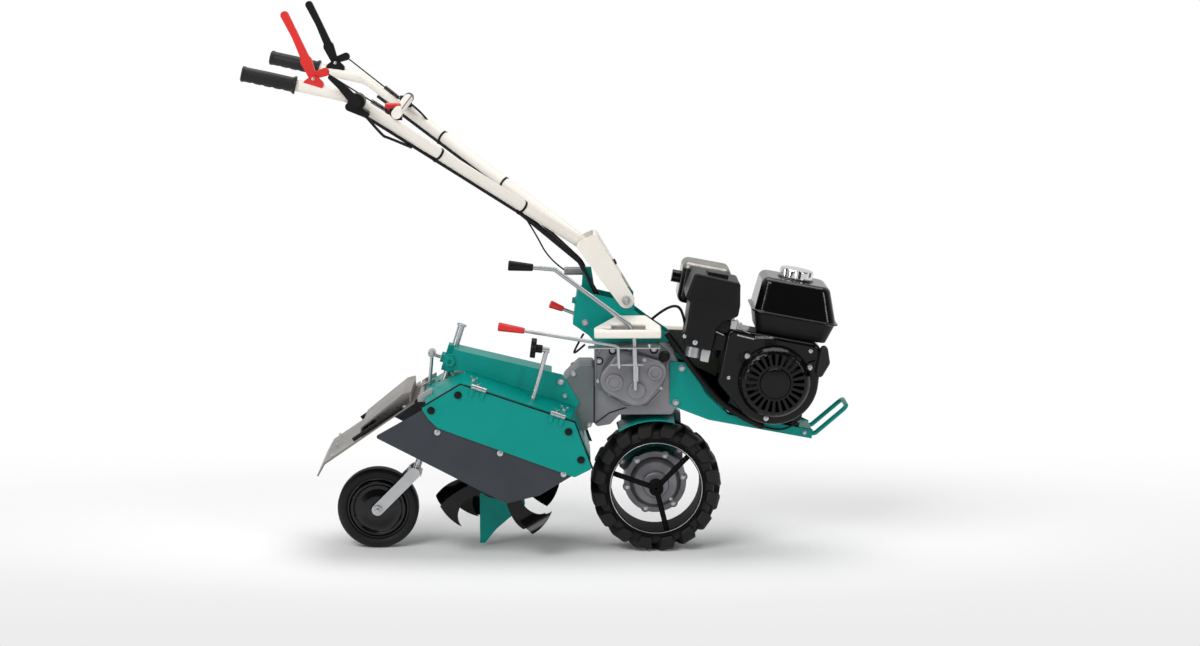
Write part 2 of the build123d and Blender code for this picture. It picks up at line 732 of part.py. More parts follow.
def gauge_stem():
    """Stem of the gauge wheel with its top cap."""
    stem = stem_frame(STEM_TOP - STEM_LEN / 2) * Cylinder(STEM_R, STEM_LEN)
    return stem + stem_frame(STEM_TOP - 2) * Cylinder(11, 4)


def gauge_fork():
    """Fork below the stem with its wheel bolt."""
    foot = STEM_TOP - STEM_LEN
    side = FORK_GAP + FORK_T
    fork = stem_frame(foot - 2.5, -2) * Box(32, 2 * side, 5)
    corner = stem_frame(foot - 2.5).position
    strap = hull_of([(corner.X - 3, corner.Z, 13), (GAUGE_X, GAUGE_Z, 13)])
    arm = across(strap, -side, -FORK_GAP) + disc(GAUGE_X, GAUGE_Z, 10, -side - 7, -side)
    fork += Pos(0, STEM_Y, 0) * (arm + mirrored(arm))
    return fork + disc(GAUGE_X, GAUGE_Z, 6, STEM_Y - side - 7, STEM_Y + side + 7)


def gauge_disc():
    """Pressed disc of the gauge wheel, with a raised ring and its hub."""
    half = GAUGE_W / 2
    wall = [
        (6 + RUNNING, half + 2), (13, half + 2), (14, half - 2), (30, half - 3), (46, half - 8),
        (52, half - 8), (56, half - 3), (61, half - 3), (65, half - 9), (70, half - 9),
    ]
    section = [(r, -y) for r, y in wall] + wall[::-1]
    return turned(section, GAUGE_X, STEM_Y, GAUGE_Z)


def gauge_tyre():
    """Solid tread ring of the gauge wheel."""
    half = GAUGE_W / 2
    wall = [(70, half - 4), (76, half), (84, half - 1), (GAUGE_R, half - 8)]
    section = [(r, -y) for r, y in wall] + wall[::-1]
    return turned(section, GAUGE_X, STEM_Y, GAUGE_Z)


# Handle


def on_tube(share, side, dx=0.0, dy=0.0, dz=0.0):
    """Point along the long straight run of a handle tube."""
    x = TUBE_KNEE[0] + share * (TUBE_BEND[0] - TUBE_KNEE[0])
    y = TUBE_KNEE[1] + share * (TUBE_BEND[1] - TUBE_KNEE[1])
    z = TUBE_KNEE[2] + share * (TUBE_BEND[2] - TUBE_KNEE[2])
    return (x + dx, side * y + dy, z + dz)


def handle_column():
    """Folded channel on the pivot, open to the rear, with the liners that hold the tubes."""
    cheek = hull_of([(PIVOT_X, PIVOT_Z, 18), (-164, 666, 12), (-138, 681, 9)])
    inside = hull_of([(PIVOT_X - 2.7, PIVOT_Z - 1.4, 18), (-140.7, 679.6, 9), (-240, 730, 10), (-180, 520, 10)])
    column = across(cheek, -COLUMN_Y - 3, COLUMN_Y + 3) - across(inside, -COLUMN_Y, COLUMN_Y)
    column -= disc(PIVOT_X, PIVOT_Z, 52, -COLUMN_Y, COLUMN_Y)
    seat = [(-106, 576), (-88, 588), (-144, 671), (-166, 660)]
    liner = plate(seat, -COLUMN_Y - 1, -TUBE_KNEE[1] - TUBE_R - 0.2)
    column += liner + mirrored(liner)
    column -= disc(PIVOT_X, PIVOT_Z, 6 + RUNNING, -60, 60)
    return column


def handle_tubes():
    """The two bent handle tubes."""
    path = [(x, -y, z) for x, y, z in (TUBE_LOW, TUBE_KNEE, TUBE_BEND, TUBE_END)]
    return both(bar(path, TUBE_R, 60))


def grips():
    """Grips over the tube ends, flanged in front, with finger hollows underneath."""
    end = Vector(TUBE_END[0], -TUBE_END[1], TUBE_END[2])
    bend = Vector(TUBE_BEND[0], -TUBE_BEND[1], TUBE_BEND[2])
    axis = (end - bend).normalized()
    front = end - axis * (GRIP_LEN - 7)
    points = [
        (TUBE_R, 0), (GRIP_R + 3, 0), (GRIP_R + 3.6, 2.5), (GRIP_R + 3, 5), (GRIP_R, 8), (GRIP_R + 0.5, 60),
        (GRIP_R, GRIP_LEN - 10), (GRIP_R + 1, GRIP_LEN - 6), (GRIP_R + 1, GRIP_LEN - 2),
        (GRIP_R - 2, GRIP_LEN), (0, GRIP_LEN), (0, GRIP_LEN - 7), (TUBE_R, GRIP_LEN - 7),
    ]
    sleeve = revolve(make_face(Polyline(*points, close=True)), axis=Axis.Y)
    for k in range(4):
        sleeve -= Pos(0, 26 + 21 * k, -GRIP_R - 7.4) * Rot(0, 90, 0) * Cylinder(9, 60)
    place = Plane(origin=front, x_dir=axis.cross(Vector(0, 0, 1)), z_dir=axis)
    return both(place.location * Rot(90, 0, 0) * sleeve)


def lever_brackets(tubes):
    """Small forked brackets of the two clutch levers, welded on the tubes."""
    ear = hull_of([(LEVER_X, LEVER_Z, 8), (LEVER_X + 12, LEVER_Z - 13, 9), (LEVER_X - 12, LEVER_Z - 10, 9)])
    bracket = across(ear, -LEVER_Y - 10, -LEVER_Y + 10)
    bracket -= block(LEVER_X - 40, LEVER_X + 40, -LEVER_Y - 6.4, -LEVER_Y + 6.4, LEVER_Z - 8.4, LEVER_Z + 50)
    bracket += disc(LEVER_X, LEVER_Z, 3, -LEVER_Y - 11, -LEVER_Y + 11)
    return both(bracket) - tubes


def clutch_lever():
    """Right clutch lever: a broad foot with its cam and a blade that widens to the end."""
    foot = hull_of([(LEVER_X, LEVER_Z, 7.5), (LEVER_X - 15, LEVER_Z + 37, 12)])
    blade = hull_of([(LEVER_X - 15, LEVER_Z + 39, 9), (LEVER_X - 37, LEVER_Z + 90, 7.5)])
    tip = hull_of([(LEVER_X - 37, LEVER_Z + 90, 7.5), (LEVER_X - 58, LEVER_Z + 132, 8.5)])
    cam = hull_of([(LEVER_X, LEVER_Z + 6, 7), (LEVER_X + 24, LEVER_Z + 14, 9)])
    lever = across(foot, -6, 6) + across(blade, -6, 6) + across(tip, -6, 6) + across(cam, -5, 5)
    lever -= disc(LEVER_X, LEVER_Z, 3.05, -20, 20)
    return Pos(0, -LEVER_Y, 0) * lever


def throttle(tubes):
    """Throttle lever with its round body, clamped on the right tube."""
    body = disc(-637, 1000, 18, -LEVER_Y - 21, -LEVER_Y + 21)
    body += across(hull_of([(-652, 990, 9), (-618, 974, 7)]), -LEVER_Y - 16, -LEVER_Y + 16)
    arm = across(hull_of([(-637, 1000, 11), (-668, 1034, 8)]), -LEVER_Y - 26, -LEVER_Y - 21)
    arm += across(hull_of([(-668, 1034, 8), (-690, 1052, 5)]), -LEVER_Y - 26, -LEVER_Y - 21)
    return body + arm - tubes


def cross_place():
    """Side-view middle of the cross tube, resting on both handle tubes."""
    lift = TUBE_R + CROSS_R + 0.3
    x, _, z = on_tube(CROSS_AT, 1, 0.571 * lift, 0, 0.82 * lift)
    return x, z


def cross_tube():
    """Tube across the handle, lying on both tubes, with its cable clamps."""
    x, z = cross_place()
    tube = Pos(x, 0, z) * Rot(90, 0, 0) * Cylinder(CROSS_R, 456)
    for y in (-176, 176):
        tube += block(x - 17, x + 9, y - 12, y + 12, z - 17, z + 8)
    return tube


def stop_switch(cross):
    """Engine stop switch clamped on the cross tube."""
    x, z = cross_place()
    body = block(x - 30, x + 4, -152, -128, z - 8, z + 16)
    return fillet(body.edges(), 4) - cross


def control_cables():
    """Control cables tied along the tubes down into the handle mount."""
    below = TUBE_R + CABLE_R + 0.4
    dx, dz = -below * 0.572, -below * 0.82
    cables = []
    for side in (-1, 1):
        run = [on_tube(0.93, side, dx, 0, dz), on_tube(0.26, side, dx, 0, dz)]
        cables.append(bar(run + [(-165, side * 30, 622), (-132, side * 22, 548)], CABLE_R, [140, 50]))
    beside = TUBE_R + 3
    run = [on_tube(share, -1, dx * 0.45, beside, dz * 0.45) for share in (0.92, 0.3)]
    cables.append(bar(run + [(-178, -16, 636), (-126, -10, 548)], CABLE_R, [140, 50]))
    return group(*cables)


def lever_wires():
    """Thin wires from the lever cams to the clamps on the cross tube."""
    x, z = cross_place()
    wire = bar([(LEVER_X + 25, -LEVER_Y, LEVER_Z + 13), (x - 18.2, -184, z)], 1.6)
    return both(wire - clutch_lever())


def make_pieces():
    """All pieces of the machine by node name."""
    case = rotor_drive_case()
    engine = engine_block()
    hood = rotary_hood()
    mount = handle_mount()
    arm = lock_arm()
    tubes = handle_tubes()
    cross = cross_tube()
    panel = side_panel()
    skirt = side_skirt()
    flap = rear_flap()
    lever = clutch_lever()
    return {
        "transmission_case": transmission_case(),
        "final_drive_covers": final_drive_covers(),
        "gear_cover": gear_cover(),
        "mudguards": mudguards(),
        "rotor_drive_case": case,
        "skid_plate": skid_plate(case),
        "engine_frame": engine_frame(),
        "front_loop": front_loop(),
        "engine_block": engine,
        "fan_shroud": fan_shroud(),
        "recoil_cover": recoil_cover(),
        "starter_grip": starter_grip(),
        "fuel_tank": fuel_tank(),
        "fuel_cap": fuel_cap(),
        "air_cleaner": air_cleaner(),
        "carburettor": carburettor(),
        "muffler": muffler(engine),
        "belt_cover": belt_cover(),
        "wire_conduit": wire_conduit(),
        "handle_mount": mount,
        "lock_arm": arm,
        "lock_pin": lock_pin(arm),
        "shift_guide": shift_guide(),
        "lever_rods": group(shift_lever(), pto_lever(), small_lever(mount)),
        "black_knobs": group(shift_knob(), adjuster_knob()),
        "red_knobs": red_knobs(),
        "rotary_beam": rotary_beam(),
        "rotary_hood": hood,
        "flap_hinge": flap_hinge() - hood,
        "stay_rods": group(flap_stay() - hood, adjuster_rod()),
        "drive_tyre": drive_tyre(),
        "drive_wheel": drive_wheel(),
        "rotor_shaft": rotor_shaft(),
        "rotor_tines": rotor_tines(),
        "gauge_stem": gauge_stem(),
        "gauge_fork": gauge_fork(),
        "gauge_disc": gauge_disc(),
        "gauge_tyre": gauge_tyre(),
        "side_panel_right": panel,
        "side_skirt_right": skirt,
        "side_panel_left": mirrored(panel),
        "side_skirt_left": mirrored(skirt),
        "rear_flap": flap,
        "flap_sheet": flap_sheet() - flap,
        "handle_column": handle_column(),
        "handle_tubes": tubes,
        "grips": grips(),
        "lever_brackets": lever_brackets(tubes),
        "lever_red": lever,
        "lever_black": mirrored(lever),
        "throttle": throttle(tubes),
        "cross_tube": cross,
        "stop_switch": stop_switch(cross),
        "control_cables": group(control_cables(), lever_wires()),
    }


def main():
    """Build every piece and write it as its own file."""
    os.makedirs("parts", exist_ok=True)
    for name, shape in make_pieces().items():
        export_step(Pos(AXLE_X, 0, -FLOOR_Z) * shape, f"parts/{name}.step")


main()
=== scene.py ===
"""Looks of a walk-behind tractor on one wide drive wheel, with a rear rotary ridger.

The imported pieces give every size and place. This script gives them their surfaces and rounded
edges, and adds tread, fasteners, springs and ties, on a pale studio floor.
"""

import json
import logging
import math
from collections.abc import Callable
from dataclasses import dataclass
from enum import Enum
from functools import cache

import bmesh
import bpy
from mathutils import Matrix, Vector
from mathutils.geometry import convex_hull_2d

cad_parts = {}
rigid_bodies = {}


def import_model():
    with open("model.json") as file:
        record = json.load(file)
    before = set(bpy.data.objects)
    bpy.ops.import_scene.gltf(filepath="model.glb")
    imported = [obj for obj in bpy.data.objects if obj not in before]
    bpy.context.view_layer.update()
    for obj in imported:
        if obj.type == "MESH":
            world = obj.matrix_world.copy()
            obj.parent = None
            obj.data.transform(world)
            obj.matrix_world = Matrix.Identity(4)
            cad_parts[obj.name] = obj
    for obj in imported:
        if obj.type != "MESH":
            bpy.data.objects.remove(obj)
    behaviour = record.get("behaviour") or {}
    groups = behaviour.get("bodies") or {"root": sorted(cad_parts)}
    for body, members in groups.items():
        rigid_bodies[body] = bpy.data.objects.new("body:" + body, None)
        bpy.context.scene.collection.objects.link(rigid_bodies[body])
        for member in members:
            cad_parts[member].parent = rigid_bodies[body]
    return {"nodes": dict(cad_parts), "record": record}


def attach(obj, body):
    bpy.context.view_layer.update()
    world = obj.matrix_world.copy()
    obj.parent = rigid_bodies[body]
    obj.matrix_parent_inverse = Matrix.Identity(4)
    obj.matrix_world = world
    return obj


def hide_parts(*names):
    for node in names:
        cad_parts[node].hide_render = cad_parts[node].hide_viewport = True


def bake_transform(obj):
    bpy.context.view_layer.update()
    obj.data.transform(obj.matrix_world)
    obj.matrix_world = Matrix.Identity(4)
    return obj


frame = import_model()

LOG = logging.getLogger("walking_tractor")
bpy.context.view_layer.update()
MM = 0.001
AXLE_X = 225.445
DATUM_Z = 23.4
AXLE_Z = 122.6
ENGINE_TILT = math.radians(10.6)
CRANK_X = 255.0
CRANK_Z = 378.0
SMOOTH_BELOW = math.radians(38)
LARGE_FACES_LEAD = 90
FLAT_FACE_M2 = 3e-4
FLAT_LEAN = math.radians(20)
TURNED_BELOW = -0.2
EDGE_SHARES = (1.0, 0.75, 0.5, 0.35, 0.2, 0.1)
WELD_MM = 0.02
# Faces that differ by less count as one flat face. The dished disc needs all of its facets.
FLAT_DEG = 0.6
FINE_FLAT_DEG = {"gauge_disc": 0.05}
# Pieces that keep their full rounding even where it turns small faces over.
FULL_WIDTH = ("fuel_tank", "shift_guide")
CURVE_STEPS = 12
BAR_ROUND = 4
BAND_STEPS = 40
FLANGE_SIDES = 20
FLANGE_TAPER = 0.9
CHAMFER_R = 0.84
CHAMFER_H = 0.2
TWIST_MAX = 1.05
HOSE_SIDES = 16
RING_STEPS = 4
CREST_BELOW = 1.5
COIL_STEPS = 24
WIRE_SIDES = 8
DRAWN_STRETCH = 0.06
PATCH_DETAIL = 3.0
PATCH_RANGE = (0.3, 0.7)
ROUGH_RANGE = (0.6, 1.4)
SEED = 7
BODY_OF = {
    node: body for body, nodes in frame["record"]["behaviour"]["bodies"].items() for node in nodes
}
RIGHT = Vector((0.0, -1.0, 0.0))
LEFT = Vector((0.0, 1.0, 0.0))
UP = Vector((0.0, 0.0, 1.0))
Mesh = bpy.types.Mesh
Object = bpy.types.Object
Socket = bpy.types.NodeSocket
NodeTree = bpy.types.NodeTree
Pair = tuple[float, float]
Point = tuple[float, float, float]
# Path, radius in millimetres, and True where the path is one smooth curve.
Bar = tuple[tuple[Point, ...], float, bool]
# Two corners and the width of the rounding.
Box = tuple[Point, Point, float]
# Side-view place, outward direction and scale.
Mark = tuple[Point, Vector, float]
# Foot, outward direction and scale.
Spot = tuple[Vector, Vector, float]


def at(x: float, y: float, z: float) -> Vector:
    """Place in the shared frame of a side-view point.

    Args:
        x: Millimetres ahead of the drive axle.
        y: Millimetres to the machine's left.
        z: Millimetres above the side view's datum line, which lies above the floor.

    Returns:
        The point in metres.
    """
    return Vector(((AXLE_X + x) * MM, y * MM, (DATUM_Z + z) * MM))


def on_engine(u: float, y: float, w: float) -> Vector:
    """Place in the shared frame of a point on the tilted engine.

    Args:
        u: Millimetres ahead of the crankshaft, along the engine's base.
        y: Millimetres to the machine's left.
        w: Millimetres above the crankshaft, square to the engine's base.

    Returns:
        The point in metres.
    """
    x = CRANK_X + u * math.cos(ENGINE_TILT) + w * math.sin(ENGINE_TILT)
    z = CRANK_Z - u * math.sin(ENGINE_TILT) + w * math.cos(ENGINE_TILT)
    return at(x, y, z)


def engine_place(spot: Vector) -> Pair:
    """Engine measures of a point of the shared frame.

    Args:
        spot: Point in metres.

    Returns:
        Millimetres ahead of the crankshaft and above it.
    """
    x = spot.x / MM - AXLE_X - CRANK_X
    z = spot.z / MM - DATUM_Z - CRANK_Z
    u = x * math.cos(ENGINE_TILT) - z * math.sin(ENGINE_TILT)
    w = x * math.sin(ENGINE_TILT) + z * math.cos(ENGINE_TILT)
    return u, w


def around(radius: float, angles: tuple[float, ...]) -> list[Pair]:
    """Places on a circle about a line across the machine.

    Args:
        radius: Radius of the circle.
        angles: Angle of each place in degrees, up from straight ahead.

    Returns:
        Distance ahead and above of each place.
    """
    turns = [math.radians(angle) for angle in angles]
    return [(radius * math.cos(turn), radius * math.sin(turn)) for turn in turns]


def linear(colour: str) -> tuple[float, float, float, float]:
    """Linear colour of an sRGB hex value.

    Args:
        colour: Six hex digits.

    Returns:
        Red, green, blue and an alpha of one.
    """
    parts = [int(colour[i:i + 2], 16) / 255 for i in (0, 2, 4)]
    red, green, blue = (c / 12.92 if c <= 0.04045 else ((c + 0.055) / 1.055) ** 2.4 for c in parts)
    return red, green, blue, 1.0


def add_node(
    tree: NodeTree, kind: str, values: dict[str | int, object] | None = None, **settings: object
) -> bpy.types.Node:
    """Add a node with its settings, values and links.

    Args:
        tree: Tree that gets the node.
        kind: Node type.
        values: Input sockets by name or number, each with a value or the output linked to it.
        **settings: Properties of the node itself.

    Returns:
        The new node.
    """
    node = tree.nodes.new(kind)
    for name, value in settings.items():
        setattr(node, name, value)
    for name, value in (values or {}).items():
        socket = node.inputs[name]
        if isinstance(value, Socket):
            tree.links.new(value, socket)
        else:
            socket.default_value = value
    return node


class Skin(Enum):
    """How a surface was made, with the detail of the relief that it shows."""

    SPRAYED = 1.0
    CAST = 5.0
    MOULDED = 2.0
    DRAWN = 3.0


@dataclass(frozen=True)
class Finish:
    """One real material and how its surface was made."""

    name: str
    slot: str
    colour: str
    shade: str
    skin: Skin
    roughness: float
    spread: float = 0.05
    metallic: float = 0.0
    grain_mm: float = 1.5
    depth_mm: float = 0.02
    patch_mm: float = 70.0
    coat: float = 0.0
    coat_roughness: float = 0.08
    specular: float = 0.5

    @cache
    def material(self) -> bpy.types.Material:
        """Build the shader once.

        Returns:
            The material, which reads Object coordinates.
        """
        material = bpy.data.materials.new(self.name)
        material.use_nodes = True
        tree = material.node_tree
        tree.nodes.clear()
        place = add_node(tree, "ShaderNodeTexCoord").outputs["Object"]
        stretch = (1.0, 1.0, DRAWN_STRETCH) if self.skin is Skin.DRAWN else (1.0, 1.0, 1.0)
        turned = add_node(tree, "ShaderNodeMapping", {"Vector": place, "Scale": stretch}).outputs["Vector"]
        fine = {"Vector": turned, "Scale": 1 / (self.grain_mm * MM), "Detail": self.skin.value}
        grain = add_node(tree, "ShaderNodeTexNoise", fine).outputs["Fac"]
        wide = {"Vector": place, "Scale": 1 / (self.patch_mm * MM), "Detail": PATCH_DETAIL}
        patch = add_node(tree, "ShaderNodeTexNoise", wide).outputs["Fac"]
        share = add_node(
            tree, "ShaderNodeMapRange",
            {"Value": patch, "From Min": PATCH_RANGE[0], "From Max": PATCH_RANGE[1]}, clamp=True,
        ).outputs["Result"]
        tones = {0: share, 6: linear(self.colour), 7: linear(self.shade)}
        tone = add_node(tree, "ShaderNodeMix", tones, data_type="RGBA").outputs[2]
        mixed = add_node(tree, "ShaderNodeMath", {0: patch, 1: grain}, operation="ADD").outputs[0]
        levels = {
            "Value": mixed, "From Min": ROUGH_RANGE[0], "From Max": ROUGH_RANGE[1],
            "To Min": self.roughness - self.spread, "To Max": self.roughness + self.spread,
        }
        rough = add_node(tree, "ShaderNodeMapRange", levels).outputs["Result"]
        look = {
            "Base Color": tone, "Roughness": rough, "Metallic": self.metallic, "Coat Weight": self.coat,
            "Coat Roughness": self.coat_roughness, "Specular IOR Level": self.specular,
        }
        if self.depth_mm:
            relief = {"Height": grain, "Distance": self.depth_mm * MM, "Strength": 1.0}
            look["Normal"] = add_node(tree, "ShaderNodeBump", relief).outputs["Normal"]
        shader = add_node(tree, "ShaderNodeBsdfPrincipled", look)
        add_node(tree, "ShaderNodeOutputMaterial", {"Surface": shader.outputs["BSDF"]})
        return material


# Polyester powder coat on sheet steel: even teal with a faint orange peel and a soft gloss.
GREEN = Finish("teal_powder_coat", "green_paint", "008C82", "00877E", Skin.SPRAYED, 0.38, 0.04,
               grain_mm=2.2, depth_mm=0.01, coat=0.04, coat_roughness=0.15, specular=0.14)
# Ivory enamel on steel tube: warm white, smooth, with a wide soft highlight.
IVORY = Finish("ivory_enamel", "ivory_paint", "E9E4DB", "E4DED4", Skin.SPRAYED, 0.36, 0.04,
               grain_mm=2.4, depth_mm=0.0)
# Inside of the belt cover: dark olive that paints the shade of its shadowed inner face.
INSIDE_SHADE = Finish("painted_shade_inside", "black_plastic", "4A4D44", "42453D", Skin.MOULDED, 0.6, 0.05,
               grain_mm=1.5, depth_mm=0.01, specular=0.2)
# Moulded polypropylene in cream, with a fine moulded grain.
CREAM = Finish("cream_polypropylene", "ivory_plastic", "E3DDD0", "DED7C9", Skin.MOULDED, 0.42, 0.05,
               grain_mm=0.8, depth_mm=0.01)
# Die-cast aluminium, shot-blasted: mid grey, dull, with a sandy skin.
CAST = Finish("blasted_cast_aluminium", "cast_aluminium", "8C8C90", "7E7E83", Skin.CAST, 0.46, 0.08, 0.55,
              grain_mm=1.6, depth_mm=0.04, patch_mm=38.0)
# Grey paint over the cast rotor housing: smoother than the bare casting.
HOUSING = Finish("grey_painted_casting", "cast_aluminium", "616A6C", "596264", Skin.SPRAYED, 0.42, 0.05,
                 grain_mm=2.0, depth_mm=0.03)
# Black baked enamel on pressed steel: deep black with a clear gloss.
BLACK = Finish("black_baked_enamel", "black_paint", "080809", "060607", Skin.SPRAYED, 0.15, 0.02,
               grain_mm=2.2, depth_mm=0.0, coat=0.08, coat_roughness=0.06, specular=0.22)
# Black primer on the wheel's rim and spokes: dull, with almost no reflection.
RIM = Finish("black_rim_primer", "black_paint", "111112", "0D0D0E", Skin.SPRAYED, 0.55, 0.05,
             grain_mm=2.0, depth_mm=0.01, specular=0.06)
# Black stoving lacquer of the fuel tank and the gauge wheel's disc: the glossiest black on the machine.
LACQUER = Finish("black_tank_lacquer", "black_gloss", "080809", "060607", Skin.SPRAYED, 0.17, 0.02,
                 grain_mm=3.0, depth_mm=0.0, coat=0.12, coat_roughness=0.04, specular=0.34)
# Injection-moulded nylon: charcoal black with a fine spark-eroded grain.
NYLON = Finish("black_moulded_nylon", "black_plastic", "161617", "121213", Skin.MOULDED, 0.4, 0.05,
               grain_mm=0.7, depth_mm=0.008, specular=0.18)
# Soft vinyl of the hand grips and pull grip.
VINYL = Finish("black_vinyl", "black_rubber", "1E1E1F", "19191A", Skin.MOULDED, 0.48, 0.06,
               grain_mm=0.9, depth_mm=0.012, specular=0.28)
# Vulcanised tyre rubber: warm near-black, dull, with faint mould bloom.
RUBBER = Finish("tyre_rubber", "tyre_rubber", "1C1B1A", "151514", Skin.CAST, 0.58, 0.08,
                grain_mm=1.3, depth_mm=0.04, patch_mm=45.0, specular=0.28)
# Red ABS of the levers and knobs: saturated, with a moulded gloss.
RED = Finish("red_moulded_abs", "red_plastic", "D22822", "CC231E", Skin.MOULDED, 0.36, 0.04,
             grain_mm=1.2, depth_mm=0.0)
# Zinc-plated steel: bright, slightly blue, with a faint clouding.
ZINC = Finish("zinc_plated_steel", "zinc_steel", "C9CACC", "BEC0C3", Skin.SPRAYED, 0.35, 0.04, 1.0,
              grain_mm=1.2, depth_mm=0.0, patch_mm=25.0)
# Polished chrome of the fuel cap.
CHROME = Finish("chrome_plate", "chrome", "DDDDE0", "D6D6D9", Skin.SPRAYED, 0.08, 0.02, 1.0,
                grain_mm=4.0, depth_mm=0.0)
# Heat-dulled aluminised steel of the exhaust, and the bare steel of the drive axle.
EXHAUST = Finish("aluminised_steel", "muffler_steel", "9B9894", "86827D", Skin.DRAWN, 0.4, 0.08, 1.0,
                 grain_mm=1.0, depth_mm=0.01, patch_mm=30.0)
# Machined and die-cast alloy of the carburettor and outlet: brighter than the gear case.
ALLOY = Finish("die_cast_alloy", "zinc_steel", "B4B5B8", "A4A5A8", Skin.CAST, 0.34, 0.06, 0.95,
               grain_mm=1.2, depth_mm=0.02, patch_mm=20.0)
# Charcoal paint of the side skirts, with a satin face.
CHARCOAL = Finish("charcoal_paint", "grey_paint", "3A3D43", "36393F", Skin.SPRAYED, 0.42, 0.04,
                  grain_mm=2.0, depth_mm=0.012, specular=0.2)
# Bare rolled sheet of the rear flap, with a grey satin film.
SHEET = Finish("grey_rolled_sheet", "grey_sheet", "8C8782", "7E7A76", Skin.DRAWN, 0.36, 0.06, 0.6,
               grain_mm=1.2, depth_mm=0.01, patch_mm=90.0)


def linked(name: str, data: bpy.types.ID) -> Object:
    """Put data into the scene as an object at the origin.

    Args:
        name: Name of the object.
        data: Mesh, curve, lamp or camera.

    Returns:
        The new object.
    """
    thing = bpy.data.objects.new(name, data)
    bpy.context.scene.collection.objects.link(thing)
    return thing


def mesh_of(work: bmesh.types.BMesh, name: str, outward: bool = False) -> Mesh:
    """Mesh of finished work, which is then freed.

    Args:
        work: Faces in place.
        name: Name of the mesh.
        outward: True to turn all faces outward first.

    Returns:
        The mesh.
    """
    if outward:
        bmesh.ops.recalc_face_normals(work, faces=work.faces)
    mesh = bpy.data.meshes.new(name)
    work.to_mesh(mesh)
    work.free()
    return mesh


def bridge(
    work: bmesh.types.BMesh, here: list[bmesh.types.BMVert], there: list[bmesh.types.BMVert]
) -> None:
    """Join two closed rows of corners by a belt of faces.

    Args:
        work: Work that gets the faces.
        here: Corners of one row.
        there: Corners of the other row, in the same order.
    """
    for i in range(len(here)):
        j = (i + 1) % len(here)
        work.faces.new((here[i], here[j], there[j], there[i]))


def level_flats(mesh: Mesh) -> None:
    """Give large flat faces their own normal at the corners where a neighbour tilts it far.

    Args:
        mesh: Mesh whose sharp edges are set.
    """
    normals = [Vector(corner.vector) for corner in mesh.corner_normals]
    tilted = False
    for face in mesh.polygons:
        if face.area < FLAT_FACE_M2:
            continue
        for corner in face.loop_indices:
            if normals[corner].angle(face.normal, 0.0) > FLAT_LEAN:
                normals[corner] = Vector(face.normal)
                tilted = True
    if tilted:
        mesh.normals_split_custom_set(normals)


def finished(name: str, mesh: Mesh) -> Object:
    """Put a finished mesh into the scene at the origin, smooth where it is not sharp.

    Args:
        name: Name of the piece.
        mesh: Its mesh, already in place.

    Returns:
        The new object.
    """
    mesh.name = name
    mesh.shade_smooth()
    mesh.set_sharp_from_angle(angle=SMOOTH_BELOW)
    level_flats(mesh)
    return linked(name, mesh)


def evaluated(carrier: Object) -> Mesh:
    """Plain mesh of an object with its modifiers, which is then removed.

    Args:
        carrier: Object with live modifiers.

    Returns:
        The mesh that they make.
    """
    graph = bpy.context.evaluated_depsgraph_get()
    mesh = bpy.data.meshes.new_from_object(carrier.evaluated_get(graph))
    bpy.data.objects.remove(carrier)
    return mesh


def rounded(mesh: Mesh, width_mm: float, segments: int = 2, above: float = 30.0) -> Mesh:
    """Round the sharp edges of a mesh.

    Args:
        mesh: Closed mesh with shared vertices.
        width_mm: Width of the rounding.
        segments: Faces across the rounding.
        above: Edge angle in degrees that counts as sharp.

    Returns:
        A new mesh.
    """
    carrier = linked("carrier", mesh)
    edge = carrier.modifiers.new("edge", "BEVEL")
    edge.width = width_mm * MM
    edge.segments = segments
    edge.limit_method = "ANGLE"
    edge.angle_limit = math.radians(above)
    edge.use_clamp_overlap = False
    mesh.shade_smooth()
    level = carrier.modifiers.new("level", "WEIGHTED_NORMAL")
    level.keep_sharp = True
    level.weight = LARGE_FACES_LEAD
    return evaluated(carrier)


def turned_over(mesh: Mesh) -> int:
    """Number of faces that lie against their corner normals.

    Args:
        mesh: Mesh after rounding.

    Returns:
        How many faces the rounding turned over.
    """
    normals = [corner.vector for corner in mesh.corner_normals]
    count = 0
    for face in mesh.polygons:
        along = sum(normals[corner].dot(face.normal) for corner in face.loop_indices)
        count += along / face.loop_total < TURNED_BELOW
    return count


def merged_copy(node: str) -> Mesh:
    """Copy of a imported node's mesh with shared vertices and whole flat faces.

    Args:
        node: Name of the node.

    Returns:
        The copied mesh.
    """
    work = bmesh.new()
    work.from_mesh(frame["nodes"][node].data)
    bmesh.ops.remove_doubles(work, verts=work.verts, dist=WELD_MM * MM)
    flat = math.radians(FINE_FLAT_DEG.get(node, FLAT_DEG))
    bmesh.ops.dissolve_limit(work, angle_limit=flat, verts=work.verts, edges=work.edges)
    return mesh_of(work, node)


def eased(node: str, edge_mm: float, segments: int) -> Mesh:
    """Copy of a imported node, its edges rounded as far as no face turns over.

    Args:
        node: Name of the node.
        edge_mm: Largest width of the rounding.
        segments: Faces across the rounding.

    Returns:
        The rounded mesh.
    """
    for share in EDGE_SHARES:
        mesh = rounded(merged_copy(node), edge_mm * share, segments)
        if node in FULL_WIDTH or not turned_over(mesh):
            break
    return mesh


def lathe(profile: list[Pair], centre: Vector, steps: int) -> Mesh:
    """Closed ring turned about a line across the machine.

    Args:
        profile: Closed section as (radius, offset) in millimetres.
        centre: Middle of the ring.
        steps: Faces around.

    Returns:
        The mesh.
    """
    work = bmesh.new()
    rings = []
    for k in range(steps):
        angle = 2 * math.pi * k / steps
        ring = []
        for radius, offset in profile:
            spot = Vector((radius * math.cos(angle), offset, radius * math.sin(angle))) * MM
            ring.append(work.verts.new(centre + spot))
        rings.append(ring)
    for k in range(steps):
        bridge(work, rings[k], rings[(k + 1) % steps])
    return mesh_of(work, "lathe", True)


